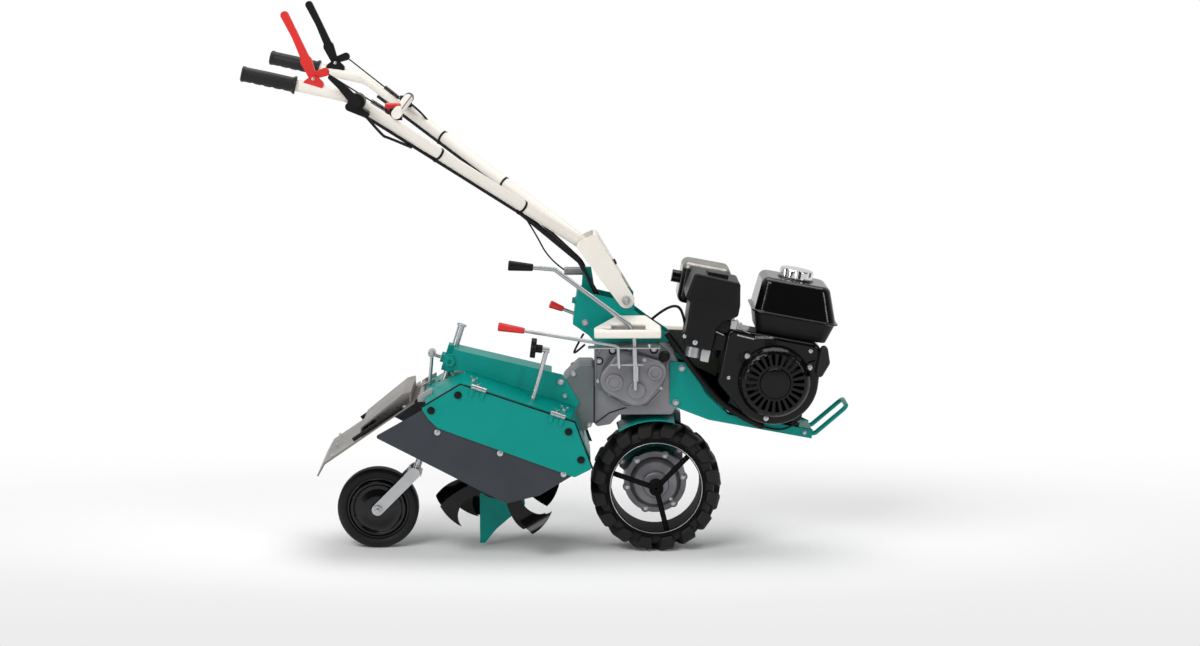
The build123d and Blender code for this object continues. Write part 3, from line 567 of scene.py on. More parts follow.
def path_curve(path: list[Vector], smooth: bool = True) -> bpy.types.Curve:
    """Curve along a path.

    Args:
        path: Points in metres.
        smooth: True for one smooth curve near the points, False for straight runs.

    Returns:
        The curve.
    """
    curve = bpy.data.curves.new("path", "CURVE")
    curve.dimensions = "3D"
    curve.resolution_u = CURVE_STEPS
    spline = curve.splines.new("NURBS" if smooth else "POLY")
    spline.points.add(len(path) - 1)
    for point, spot in zip(spline.points, path):
        point.co = (*spot, 1.0)
    if smooth:
        spline.order_u = 3
        spline.use_endpoint_u = True
    return curve


def swept(path: list[Vector], radius_mm: float, smooth: bool = True) -> Mesh:
    """Round bar along a path.

    Args:
        path: Points in metres.
        radius_mm: Bar radius.
        smooth: True for one smooth curve near the points, False for straight runs.

    Returns:
        The mesh, with closed ends.
    """
    curve = path_curve(path, smooth)
    curve.bevel_depth = radius_mm * MM
    curve.bevel_resolution = BAR_ROUND
    curve.use_fill_caps = True
    return evaluated(linked("path", curve))


def bars(rows: tuple[Bar, ...], place: Callable[..., Vector] = at) -> list[Mesh]:
    """Round bars of a table.

    Args:
        rows: Path, radius and smoothness of each bar.
        place: Function that turns a point of a path into a place in the shared frame.

    Returns:
        One mesh for each bar.
    """
    return [swept([place(*point) for point in path], radius, smooth) for path, radius, smooth in rows]


def slab(low: Vector, high: Vector, round_mm: float = 0.6) -> Mesh:
    """Block between two corners, with rounded edges.

    Args:
        low: Corner with the lowest coordinates.
        high: Corner with the highest coordinates.
        round_mm: Width of the rounding.

    Returns:
        The mesh.
    """
    work = bmesh.new()
    bmesh.ops.create_cube(work, size=1.0)
    size = high - low
    for vertex in work.verts:
        vertex.co = Vector(low[i] + (vertex.co[i] + 0.5) * size[i] for i in range(3))
    return rounded(mesh_of(work, "slab"), round_mm)


def engine_slabs(rows: tuple[Box, ...]) -> list[Mesh]:
    """Blocks drawn in the engine's own measures, moved to their place on the machine.

    Args:
        rows: Corners and rounding of each block.

    Returns:
        One mesh for each block.
    """
    meshes = []
    for low, high, round_mm in rows:
        mesh = slab(Vector(low) * MM, Vector(high) * MM, round_mm)
        for vertex in mesh.vertices:
            vertex.co = on_engine(*(vertex.co / MM))
        meshes.append(mesh)
    return meshes


def strap(
    circles: list[tuple[Vector, float]], along: Vector, width_mm: float, thick_mm: float
) -> Mesh:
    """Band pulled tight around parallel bars, closed over them.

    Args:
        circles: Middle and radius in millimetres of each bar.
        along: Direction of the bars.
        width_mm: Width of the band along them.
        thick_mm: Thickness of the band.

    Returns:
        The closed band.
    """
    axis = along.normalized()
    side = axis.orthogonal().normalized()
    up = axis.cross(side)
    origin = circles[0][0]
    flat = []
    for middle, radius in circles:
        offset = middle - origin
        reach = (radius + thick_mm) * MM
        for k in range(BAND_STEPS):
            angle = 2 * math.pi * k / BAND_STEPS
            across = offset.dot(side) + reach * math.cos(angle)
            flat.append(Vector((across, offset.dot(up) + reach * math.sin(angle))))
    outline = [flat[i] for i in convex_hull_2d(flat)]
    work = bmesh.new()
    ends = []
    for shift in (-0.5, 0.5):
        middle = origin + axis * shift * width_mm * MM
        ends.append([work.verts.new(middle + side * spot.x + up * spot.y) for spot in outline])
    work.faces.new(ends[0])
    work.faces.new(ends[1])
    bridge(work, *ends)
    return mesh_of(work, "strap", True)


def joined(meshes: list[Mesh]) -> Mesh:
    """One mesh of several, without their finishes.

    Args:
        meshes: Meshes in place.

    Returns:
        The joined mesh.
    """
    work = bmesh.new()
    for mesh in meshes:
        work.from_mesh(mesh)
    return mesh_of(work, "joined")


def keep(piece: Object, body: str, finish: Finish, *stands_for: str) -> None:
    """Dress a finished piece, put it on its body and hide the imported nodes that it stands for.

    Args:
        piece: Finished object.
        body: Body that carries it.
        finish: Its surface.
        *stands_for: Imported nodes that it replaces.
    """
    if not piece.data.materials:
        piece.data.materials.append(finish.material())
    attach(piece, body)
    if stands_for:
        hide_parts(*stands_for)
    LOG.info("%s on %s, %d faces", piece.name, body, len(piece.data.polygons))


def add(name: str, body: str, finish: Finish, meshes: list[Mesh], *stands_for: str) -> None:
    """Keep a new piece made of one or more meshes.

    Args:
        name: Name of the piece.
        body: Body that carries it.
        finish: Its surface.
        meshes: Meshes in place.
        *stands_for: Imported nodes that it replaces.
    """
    whole = joined(meshes) if len(meshes) > 1 else meshes[0]
    keep(finished(name, whole), body, finish, *stands_for)


Accent = tuple[Finish, Callable[[Vector], bool]]
Coat = tuple[str, Finish, float] | tuple[str, Finish, float, int]


def dress(node: str, finish: Finish, edge_mm: float, segments: int = 2, accents: tuple[Accent, ...] = ()) -> None:
    """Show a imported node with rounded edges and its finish.

    Args:
        node: Name of the node.
        finish: Its surface.
        edge_mm: Width of the rounding on its sharp edges, or zero for none.
        segments: Faces across the rounding.
        accents: Other finishes, each with a test that the corners of its faces pass.
    """
    mesh = eased(node, edge_mm, segments) if edge_mm else merged_copy(node)
    mesh.materials.clear()
    mesh.materials.append(finish.material())
    for number, (other, takes) in enumerate(accents, 1):
        mesh.materials.append(other.material())
        for face in mesh.polygons:
            if all(takes(mesh.vertices[corner].co) for corner in face.vertices):
                face.material_index = number
    keep(finished(node + "_piece", mesh), BODY_OF[node], finish, node)


def dress_all(coats: tuple[Coat, ...], accents: dict[str, tuple[Accent, ...]] | None = None) -> None:
    """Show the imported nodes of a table.

    Args:
        coats: Node, finish, width of the rounding and faces across it.
        accents: Other finishes of some of the nodes.
    """
    for coat in coats:
        dress(*coat, accents=(accents or {}).get(coat[0], ()))


class GrowthTree:
    """Geometry-node tree whose sizes are named inputs and whose result becomes a plain mesh."""

    def __init__(self, name: str) -> None:
        """Open a tree that takes and gives geometry.

        Args:
            name: Name of the tree.
        """
        self.tree = bpy.data.node_groups.new(name, "GeometryNodeTree")
        for way in ("INPUT", "OUTPUT"):
            self.tree.interface.new_socket("Geometry", in_out=way, socket_type="NodeSocketGeometry")
        self.enter = add_node(self.tree, "NodeGroupInput")
        self.ids: dict[str, str] = {}

    def size(self, name: str, kind: str = "NodeSocketFloat") -> Socket:
        """Add a named input.

        Args:
            name: What the input sets.
            kind: Socket type.

        Returns:
            The socket that carries it inside the tree.
        """
        item = self.tree.interface.new_socket(name, in_out="INPUT", socket_type=kind)
        self.ids[name] = item.identifier
        return self.enter.outputs[name]

    def node(self, kind: str, values: dict[str | int, object] | None = None, **settings: object) -> bpy.types.Node:
        """Add a node to this tree."""
        return add_node(self.tree, kind, values, **settings)

    def stand(self, shape: Socket, twist: Socket | None = None) -> None:
        """Set a shape on every point, facing outward, and end the tree.

        Args:
            shape: Socket of the shape about its own foot.
            twist: Socket of a further turn about the outward direction.
        """
        facing = self.node("GeometryNodeInputNamedAttribute", {"Name": "facing"}, data_type="FLOAT_VECTOR")
        scale = self.node("GeometryNodeInputNamedAttribute", {"Name": "scale"}, data_type="FLOAT")
        turn = self.node(
            "FunctionNodeAlignRotationToVector", {"Vector": facing.outputs["Attribute"]}, axis="Z"
        )
        if twist:
            turn = self.node(
                "FunctionNodeRotateRotation",
                {"Rotation": turn.outputs[0], "Rotate By": twist}, rotation_space="LOCAL",
            )
        spread = self.node(
            "GeometryNodeInstanceOnPoints",
            {
                "Points": self.enter.outputs["Geometry"], "Instance": shape,
                "Rotation": turn.outputs[0], "Scale": scale.outputs["Attribute"],
            },
        )
        self.close(spread.outputs[0])

    def close(self, geometry: Socket) -> None:
        """End the tree: make instances real and give them the finish.

        Args:
            geometry: Socket of the grown shape.
        """
        real = self.node("GeometryNodeRealizeInstances", {"Geometry": geometry})
        dressed = self.node(
            "GeometryNodeSetMaterial",
            {"Geometry": real.outputs[0], "Material": self.size("Finish", "NodeSocketMaterial")},
        )
        self.node("NodeGroupOutput", {"Geometry": dressed.outputs[0]})

    def grow(
        self, name: str, sizes: dict[str, object], finish: Finish, carrier: bpy.types.ID | None = None
    ) -> Object:
        """Run the tree and keep its result as a plain mesh.

        Args:
            name: Name of the piece.
            sizes: Value of each named input.
            finish: Surface of the piece.
            carrier: Mesh or curve that the tree starts from.

        Returns:
            The finished object.
        """
        base = linked(name + "_carrier", carrier or bpy.data.meshes.new(name))
        modifier = base.modifiers.new("grow", "NODES")
        modifier.node_group = self.tree
        for label, value in {**sizes, "Finish": finish.material()}.items():
            modifier[self.ids[label]] = value
        return finished(name, evaluated(base))


@cache
def fastener_tree() -> GrowthTree:
    """Bolt heads with a flange, set on points and turned by a fixed seed.

    Returns:
        The tree.
    """
    grow = GrowthTree("fasteners")
    head_r = grow.size("Head Radius")
    head_h = grow.size("Head Height")
    flange_r = grow.size("Flange Radius")
    flange_h = grow.size("Flange Height")
    sides = grow.size("Sides", "NodeSocketInt")
    seed = grow.size("Seed", "NodeSocketInt")
    flange_top = grow.node("ShaderNodeMath", {0: flange_r, 1: FLANGE_TAPER}, operation="MULTIPLY").outputs[0]
    chamfer_r = grow.node("ShaderNodeMath", {0: head_r, 1: CHAMFER_R}, operation="MULTIPLY").outputs[0]
    chamfer_h = grow.node("ShaderNodeMath", {0: head_h, 1: CHAMFER_H}, operation="MULTIPLY").outputs[0]
    chamfer_z = grow.node("ShaderNodeMath", {0: flange_h, 1: head_h}, operation="ADD").outputs[0]
    flange = grow.node(
        "GeometryNodeMeshCone",
        {"Vertices": FLANGE_SIDES, "Radius Top": flange_top, "Radius Bottom": flange_r, "Depth": flange_h},
    )
    parts = [flange.outputs["Mesh"]]
    for top_r, depth, foot in ((head_r, head_h, flange_h), (chamfer_r, chamfer_h, chamfer_z)):
        cone = grow.node(
            "GeometryNodeMeshCone",
            {"Vertices": sides, "Radius Top": top_r, "Radius Bottom": head_r, "Depth": depth},
        )
        lift = grow.node("ShaderNodeCombineXYZ", {"Z": foot})
        raised = grow.node(
            "GeometryNodeTransform", {"Geometry": cone.outputs["Mesh"], "Translation": lift.outputs[0]}
        )
        parts.append(raised.outputs[0])
    bolt = grow.node("GeometryNodeJoinGeometry")
    for part in parts:
        grow.tree.links.new(part, bolt.inputs[0])
    spin = grow.node("FunctionNodeRandomValue", {2: 0.0, 3: TWIST_MAX, 8: seed}, data_type="FLOAT")
    twist = grow.node("FunctionNodeAxisAngleToRotation", {"Axis": UP, "Angle": spin.outputs[1]})
    grow.stand(bolt.outputs[0], twist.outputs[0])
    return grow


@cache
def scatter_tree() -> GrowthTree:
    """Copies of one shape on points, each turned to face outward.

    Returns:
        The tree.
    """
    grow = GrowthTree("scatter")
    shape = grow.size("Shape", "NodeSocketObject")
    source = grow.node("GeometryNodeObjectInfo", {"Object": shape}, transform_space="ORIGINAL")
    grow.stand(source.outputs["Geometry"])
    return grow


@cache
def ring_tree() -> GrowthTree:
    """Copies of one shape, evenly spaced about a line across the machine.

    Returns:
        The tree.
    """
    grow = GrowthTree("ring_of_copies")
    count = grow.size("Count", "NodeSocketInt")
    phase = grow.size("Phase")
    centre = grow.size("Centre", "NodeSocketVector")
    shape = grow.size("Shape", "NodeSocketObject")
    step = grow.node("ShaderNodeMath", {0: 2 * math.pi, 1: count}, operation="DIVIDE")
    index = grow.node("GeometryNodeInputIndex")
    angle = grow.node(
        "ShaderNodeMath", {0: index.outputs[0], 1: step.outputs[0], 2: phase}, operation="MULTIPLY_ADD"
    )
    points = grow.node("GeometryNodeMeshLine", {"Count": count, "Offset": (0.0, 0.0, 0.0)})
    turn = grow.node("FunctionNodeAxisAngleToRotation", {"Axis": LEFT, "Angle": angle.outputs[0]})
    source = grow.node("GeometryNodeObjectInfo", {"Object": shape}, transform_space="ORIGINAL")
    spread = grow.node(
        "GeometryNodeInstanceOnPoints",
        {"Points": points.outputs[0], "Instance": source.outputs["Geometry"], "Rotation": turn.outputs[0]},
    )
    moved = grow.node("GeometryNodeTransform", {"Geometry": spread.outputs[0], "Translation": centre})
    grow.close(moved.outputs[0])
    return grow


@cache
def hose_tree() -> GrowthTree:
    """Corrugated hose along a curve, with four steps to each ring.

    Returns:
        The tree.
    """
    grow = GrowthTree("corrugated_hose")
    pitch = grow.size("Pitch")
    radius = grow.size("Radius")
    depth = grow.size("Depth")
    step = grow.node("ShaderNodeMath", {0: pitch, 1: 1 / RING_STEPS}, operation="MULTIPLY")
    points = grow.node(
        "GeometryNodeResampleCurve",
        {"Curve": grow.enter.outputs["Geometry"], "Length": step.outputs[0]}, mode="LENGTH",
    )
    index = grow.node("GeometryNodeInputIndex")
    turn = grow.node("ShaderNodeMath", {0: index.outputs[0], 1: RING_STEPS}, operation="MODULO")
    crest = grow.node("ShaderNodeMath", {0: turn.outputs[0], 1: CREST_BELOW}, operation="LESS_THAN")
    grooved = grow.node("ShaderNodeMath", {0: radius, 1: depth}, operation="SUBTRACT")
    width = grow.node(
        "ShaderNodeMath", {0: crest.outputs[0], 1: depth, 2: grooved.outputs[0]}, operation="MULTIPLY_ADD"
    ).outputs[0]
    ring = grow.node("GeometryNodeCurvePrimitiveCircle", {"Resolution": HOSE_SIDES, "Radius": 1.0})
    sized = grow.node("GeometryNodeSetCurveRadius", {"Curve": points.outputs[0], "Radius": width})
    hose = grow.node(
        "GeometryNodeCurveToMesh",
        {"Curve": sized.outputs[0], "Profile Curve": ring.outputs[0], "Scale": width, "Fill Caps": True},
    )
    grow.close(hose.outputs[0])
    return grow


@cache
def coil_tree() -> GrowthTree:
    """Helical spring about a line.

    Returns:
        The tree.
    """
    grow = GrowthTree("coil_spring")
    radius = grow.size("Radius")
    length = grow.size("Length")
    turns = grow.size("Turns")
    wire = grow.size("Wire")
    foot = grow.size("Foot", "NodeSocketVector")
    direction = grow.size("Direction", "NodeSocketVector")
    helix = grow.node(
        "GeometryNodeCurveSpiral",
        {
            "Resolution": COIL_STEPS, "Rotations": turns, "Start Radius": radius, "End Radius": radius,
            "Height": length,
        },
    )
    section = grow.node("GeometryNodeCurvePrimitiveCircle", {"Resolution": WIRE_SIDES, "Radius": wire})
    spring = grow.node(
        "GeometryNodeCurveToMesh",
        {"Curve": helix.outputs[0], "Profile Curve": section.outputs[0], "Fill Caps": True},
    )
    aligned = grow.node("FunctionNodeAlignRotationToVector", {"Vector": direction}, axis="Z")
    placed = grow.node(
        "GeometryNodeTransform",
        {"Geometry": spring.outputs[0], "Translation": foot, "Rotation": aligned.outputs[0]},
    )
    grow.close(placed.outputs[0])
    return grow


@dataclass(frozen=True)
class Coil:
    """Sizes of one kind of spring, in millimetres."""

    radius: float
    wire: float
    turns: float


def coil(name: str, body: str, foot: Vector, head: Vector, kind: Coil, finish: Finish) -> None:
    """Spring between two points.

    Args:
        name: Name of the piece.
        body: Body that carries it.
        foot: One end of its axis.
        head: Other end of its axis.
        kind: Its sizes.
        finish: Its surface.
    """
    sizes = {
        "Radius": kind.radius * MM, "Length": (head - foot).length, "Turns": kind.turns, "Wire": kind.wire * MM,
        "Foot": foot, "Direction": (head - foot).normalized(),
    }
    keep(coil_tree().grow(name, sizes, finish), body, finish)


@dataclass(frozen=True)
class Head:
    """Sizes of one kind of fastener head, in millimetres."""

    radius: float
    height: float
    flange: float
    flange_height: float
    sides: int


HEX_BOLT = Head(4.6, 3.6, 6.0, 1.2, 6)
PAN_SCREW = Head(4.2, 2.2, 5.4, 0.9, 20)
RUBBER_STOP = Head(7.0, 3.0, 8.6, 1.6, 20)


def spot_cloud(name: str, spots: list[Spot]) -> Mesh:
    """Points that carry the direction and scale of what stands on them.

    Args:
        name: Name of the points.
        spots: Foot, outward direction and scale of each copy.

    Returns:
        The mesh of loose points.
    """
    cloud = bpy.data.meshes.new(name)
    cloud.from_pydata([tuple(foot) for foot, _, _ in spots], [], [])
    cloud.attributes.new("facing", "FLOAT_VECTOR", "POINT")
    cloud.attributes.new("scale", "FLOAT", "POINT")
    for k, (_, direction, factor) in enumerate(spots):
        cloud.attributes["facing"].data[k].vector = direction.normalized()
        cloud.attributes["scale"].data[k].value = factor
    return cloud


def fasteners(name: str, body: str, kind: Head, spots: list[Spot], finish: Finish) -> None:
    """Fastener heads of one kind on one body.

    Args:
        name: Name of the piece.
        body: Body that carries them.
        kind: Head sizes.
        spots: Foot, outward direction and scale of each head.
        finish: Their surface.
    """
    sizes = {
        "Head Radius": kind.radius * MM, "Head Height": kind.height * MM, "Flange Radius": kind.flange * MM,
        "Flange Height": kind.flange_height * MM, "Sides": kind.sides, "Seed": SEED,
    }
    keep(fastener_tree().grow(name, sizes, finish, spot_cloud(name, spots)), body, finish)


def scattered(name: str, body: str, shape: Mesh, spots: list[Spot], finish: Finish) -> None:
    """Copies of a small shape on one body.

    Args:
        name: Name of the piece.
        body: Body that carries them.
        shape: Shape about its own foot, facing up.
        spots: Foot, outward direction and scale of each copy.
        finish: Their surface.
    """
    source = linked("shape", shape)
    piece = scatter_tree().grow(name, {"Shape": source}, finish, spot_cloud(name, spots))
    bpy.data.objects.remove(source)
    keep(piece, body, finish)


def marks(rows: tuple[Mark, ...]) -> list[Spot]:
    """Spots of a table of side-view places."""
    return [(at(*place), facing, scale) for place, facing, scale in rows]


def on_both(places: tuple[Point, ...], reach: float) -> list[Spot]:
    """The same fasteners on the right and left face of a piece.

    Args:
        places: Side-view x and z in millimetres and scale of each head.
        reach: Distance of both faces from the machine's middle in millimetres.

    Returns:
        The spots.
    """
    right = [(at(x, -reach, z), RIGHT, scale) for x, z, scale in places]
    return right + [(at(x, reach, z), LEFT, scale) for x, z, scale in places]


@dataclass
class DriveWheel:
    """The drive wheel: lugged tyre, rim, spokes and hub."""

    body: str = "drive_wheel_set"
    middle_y: float = -15.0
    lugs: int = 16
    carcass: tuple[Pair, ...] = (
        (104.5, 38.0), (111.0, 43.0), (113.0, 42.0), (116.0, 41.5), (121.0, 41.0), (126.0, 39.0),
        (129.5, 34.0), (131.0, 18.0), (131.5, 0.0),
    )
    carcass_steps: int = 160
    # Each station of a lug: outer radius and offset, inner radius and offset, half width and lean in degrees.
    stations: tuple[tuple[float, ...], ...] = (
        (144.4, -6.0, 128.0, -6.0, 3.4, 0.0), (146.0, 10.0, 129.0, 10.0, 4.2, 3.0),
        (146.0, 28.0, 127.0, 25.0, 5.4, 7.0), (144.0, 42.0, 124.0, 35.0, 6.2, 9.6),
        (138.0, 48.6, 121.0, 38.0, 6.5, 11.0), (127.0, 50.0, 118.0, 38.5, 6.5, 11.8),
        (119.0, 48.6, 116.0, 38.5, 6.1, 12.2), (114.0, 45.0, 113.0, 38.5, 5.2, 12.4),
    )
    flare: float = 1.2
    lug_edge: float = 1.4
    lug_sharp: float = 40.0
    lip_r: float = 102.6
    lip_y: float = 47.6
    lip_wire: float = 0.9
    lip_sides: int = 8
    lip_steps: int = 128
    axle_r: float = 12.7
    hub_end_y: float = -37.0
    wheel_edge: float = 1.0

    def centre(self) -> Vector:
        """Middle of the wheel."""
        return at(0, self.middle_y, AXLE_Z)

    def lug(self, out: float) -> Mesh:
        """One tread lug, from the middle of the tread over the shoulder.

        Args:
            out: One for the left shoulder and minus one for the right.

        Returns:
            The lug about the wheel's own middle.
        """
        work = bmesh.new()
        rows = []
        for outer_r, outer_y, inner_r, inner_y, half, lean in self.stations:
            row = []
            for radius, offset, spread in (
                (outer_r, outer_y, -half), (outer_r, outer_y, half),
                (inner_r, inner_y, half + self.flare), (inner_r, inner_y, -half - self.flare),
            ):
                angle = math.radians(lean + spread)
                spot = Vector((radius * math.cos(angle), out * offset, radius * math.sin(angle)))
                row.append(work.verts.new(spot * MM))
            rows.append(row)
        for here, there in zip(rows, rows[1:]):
            bridge(work, here, there)
        work.faces.new(rows[0])
        work.faces.new(rows[-1])
        return rounded(mesh_of(work, "lug", True), self.lug_edge, above=self.lug_sharp)

    def tyre(self) -> None:
        """Tyre carcass with a row of lugs on each shoulder."""
        half = list(self.carcass)
        profile = half + [(r, -y) for r, y in reversed(half[:-1])]
        parts = [lathe(profile, self.centre(), self.carcass_steps)]
        for out, phase in ((-1.0, 0.0), (1.0, math.pi / self.lugs)):
            source = linked("lug", self.lug(out))
            sizes = {"Count": self.lugs, "Phase": phase, "Centre": self.centre(), "Shape": source}
            row = ring_tree().grow("lug_row", sizes, RUBBER)
            parts.append(row.data)
            bpy.data.objects.remove(row)
            bpy.data.objects.remove(source)
        add("lugged_tyre", self.body, RUBBER, parts, "drive_tyre")

    def on_axle(self, spot: Vector) -> bool:
        """True for a point on the axle behind the hub."""
        reach = spot - self.centre()
        return math.hypot(reach.x, reach.z) < self.axle_r * MM and spot.y > self.hub_end_y * MM

    def lips(self) -> None:
        """Bright worn edge of the rim on both sides."""
        rings = []
        for out in (-1, 1):
            section = []
            for k in range(self.lip_sides):
                turn = 2 * math.pi * k / self.lip_sides
                reach = self.lip_r + self.lip_wire * math.cos(turn)
                section.append((reach, out * self.lip_y + self.lip_wire * math.sin(turn)))
            rings.append(lathe(section, self.centre(), self.lip_steps))
        add("rim_edges", self.body, ZINC, rings)

    def build(self) -> None:
        """Build the whole wheel."""
        self.tyre()
        self.lips()
        dress("drive_wheel", RIM, self.wheel_edge, accents=((EXHAUST, self.on_axle),))


@dataclass
class GearCase:
    """Gear case on the axle with its covers, mount and levers."""

    body: str = "chassis"
    coats: tuple[Coat, ...] = (
        ("transmission_case", CAST, 2.0), ("final_drive_covers", CAST, 1.6), ("gear_cover", CAST, 1.4),
        ("mudguards", GREEN, 0.4), ("rotor_drive_case", HOUSING, 3.5, 3), ("skid_plate", GREEN, 0.8),
        ("handle_mount", GREEN, 0.9), ("lock_arm", GREEN, 1.0), ("lock_pin", CAST, 0.8),
    )
    control_coats: tuple[Coat, ...] = (
        ("shift_guide", IVORY, 3.5, 4), ("lever_rods", ZINC, 0.0), ("black_knobs", NYLON, 0.8),
        ("red_knobs", RED, 0.8),
    )
    pivot_y: float = 49.2
    cover_y: float = 63.0
    cover_rim: tuple[Pair, ...] = (
        (-134.0, 422.0), (-134.0, 354.0), (-103.0, 331.0), (-69.0, 309.0), (-22.0, 309.0), (11.0, 345.0),
        (23.0, 377.0), (23.0, 428.0), (1.0, 444.0), (-117.0, 444.0),
    )
    rim_bead: float = 2.2
    dome_rim: tuple[Pair, ...] = (
        (-106.0, 420.0), (-128.0, 384.0), (-128.0, 352.0), (-104.0, 336.0), (-82.0, 330.0), (-62.0, 310.0),
        (-28.0, 308.0), (-8.0, 340.0), (10.0, 360.0), (25.0, 380.0), (18.0, 408.0), (-2.0, 418.0), (-62.0, 438.0),
    )
    dome_bead: float = 1.6
    dome_lift: float = 0.5
    seams: tuple[Bar, ...] = (
        (((-138, -58.2, 400), (-138, -58.2, 270)), 1.3, False),
        (((-136, -53, 268), (-104, -53, 292), (-66, -53, 304)), 1.3, False),
    )
    shifter: tuple[Bar, ...] = (
        (((-47, -97.3, 372), (-47, -97.3, 406)), 8.5, False),
        (((-48.5, -97.3, 406), (-49.5, -97.3, 446)), 6.8, False),
        (((-104, -100, 409), (-30, -100, 409)), 3.0, False),
    )
    strip: tuple[Point, Point] = ((-152, -112, 446), (6, -86, 449))
    wire: tuple[Bar, ...] = (
        (((-161, -48, 470), (-184, -52, 430), (-180, -52, 426), (-158, -50, 446)), 2.4, True),
    )
    # Heads on the gear cover: side-view x and z and scale.
    cover_bolts: tuple[Point, ...] = (
        (-127.0, 411.0, 1.1), (-97.0, 435.0, 1.1), (-6.0, 437.0, 1.1), (-130.0, 366.0, 1.0),
        (-104.0, 337.0, 0.9), (-60.0, 438.0, 0.8), (10.0, 350.0, 0.9),
    )
    ear_angles: tuple[float, ...] = (10.0, 70.0, 130.0, 190.0, 250.0, 310.0)
    # Circles of heads on the drum's right and left face: radius, place across the machine and scale.
    ears: Point = (64.0, 2.0, 1.15)
    cap_ears: Point = (38.0, 90.0, 0.7)
    leg_bolts: tuple[Mark, ...] = (
        ((-74, 38, AXLE_Z + 40), RIGHT, 1.1), ((56, 38, AXLE_Z + 66), RIGHT, 1.1),
        ((34, -9, AXLE_Z - 36), RIGHT, 0.9), ((-28, -85, 417), RIGHT, 0.9),
    )
    # Heads on both faces of a plate: distance of the faces from the middle, then x, z and scale.
    pairs: tuple[tuple[float, tuple[Point, ...]], ...] = (
        (58, ((-149, 266, 1.0), (-184, 381, 1.0), (-211, 306, 1.0))),
        (56, ((56, 393, 1.3), (43, 316, 1.3), (161, 299, 0.9), (330, 247, 0.9))),
        (45, ((-158, 494, 1.3), (-128, 470, 0.9))),
        (57, ((-67, 544, 1.35),)),
    )
    late_bolts: tuple[Mark, ...] = (
        ((-29, -49, 496), RIGHT, 1.1), ((-16, -96, 449), UP, 1.0), ((-112, -96, 449), UP, 1.0),
        ((-122, 52, 436), LEFT, 1.1), ((-122, 52, 300), LEFT, 1.1), ((28, 52, 424), LEFT, 1.1),
        ((24, 52, 340), LEFT, 1.1),
    )
    # Dark discs under three cover bolts: painted shade in the bolts' recesses.
    recess_shades: tuple[Pair, ...] = ((-127.0, 411.0), (-97.0, 433.0), (-6.0, 435.0))
    recess_shade: Head = Head(8.8, 0.4, 9.4, 0.3, 20)
    oil_cap: Head = Head(11.5, 9.0, 13.0, 4.0, 14)
    oil_cap_at: tuple[Mark, ...] = (((17, -62, 421), RIGHT, 1.0),)
    nut_plate: Head = Head(7.4, 5.0, 10.0, 1.6, 6)
    nut_plate_at: tuple[Mark, ...] = (((-179, -22, 540), Vector((-1.0, 0.0, 0.12)), 1.0),)

    def castings(self) -> None:
        """Dress the castings and plates, with a bright pivot bolt."""
        pivot = ((ZINC, lambda spot: abs(spot.y) > self.pivot_y * MM),)
        dress_all(self.coats, {"handle_mount": pivot})

    def casting_lines(self) -> None:
        """Raised beads around the covers and the dark seam beside the rotor housing."""
        rim = [at(x, -self.cover_y, z) for x, z in self.cover_rim]
        dome = [at(x, -self.cover_y - self.dome_lift, z) for x, z in self.dome_rim]
        beads = [swept(rim + rim[:1], self.rim_bead, False), swept(dome + dome[:1], self.dome_bead)]
        add("cover_beads", self.body, CAST, beads)
        add("case_seams", self.body, NYLON, bars(self.seams))

    def controls(self) -> None:
        """Dress the levers and add the shifter's sleeve, link and strip."""
        dress_all(self.control_coats)
        low, high = self.strip
        add("shifter_link", self.body, ZINC, bars(self.shifter) + [slab(at(*low), at(*high))])
        add("wire_loop", self.body, NYLON, bars(self.wire))

    def bolts(self) -> None:
        """Bolt heads of the case, its covers and the mount, with dark discs that paint the shade in the cover
        bolts' recesses.
        """
        spots = [(at(x, -self.cover_y, z), RIGHT, scale) for x, z, scale in self.cover_bolts]
        radius, y, scale = self.ears
        spots += [(at(u, y, AXLE_Z + w), RIGHT, scale) for u, w in around(radius, self.ear_angles)]
        spots += marks(self.leg_bolts)
        for reach, places in self.pairs:
            spots += on_both(places, reach)
        spots += marks(self.late_bolts)
        radius, y, scale = self.cap_ears
        spots += [(at(u, y, AXLE_Z + w), LEFT, scale) for u, w in around(radius, self.ear_angles)]
        fasteners("case_bolts", self.body, HEX_BOLT, spots, ZINC)
        # Dark discs that paint the shade of the bolts' recesses.
        recess_shades = [(at(x, -self.cover_y, z), RIGHT, 1.0) for x, z in self.recess_shades]
        fasteners("case_pits", self.body, self.recess_shade, recess_shades, NYLON)
        fasteners("oil_cap", self.body, self.oil_cap, marks(self.oil_cap_at), NYLON)
        fasteners("mount_clamp", self.body, self.nut_plate, marks(self.nut_plate_at), GREEN)

    def build(self) -> None:
        """Build the gear case."""
        self.castings()
        self.casting_lines()
        self.controls()
        self.bolts()


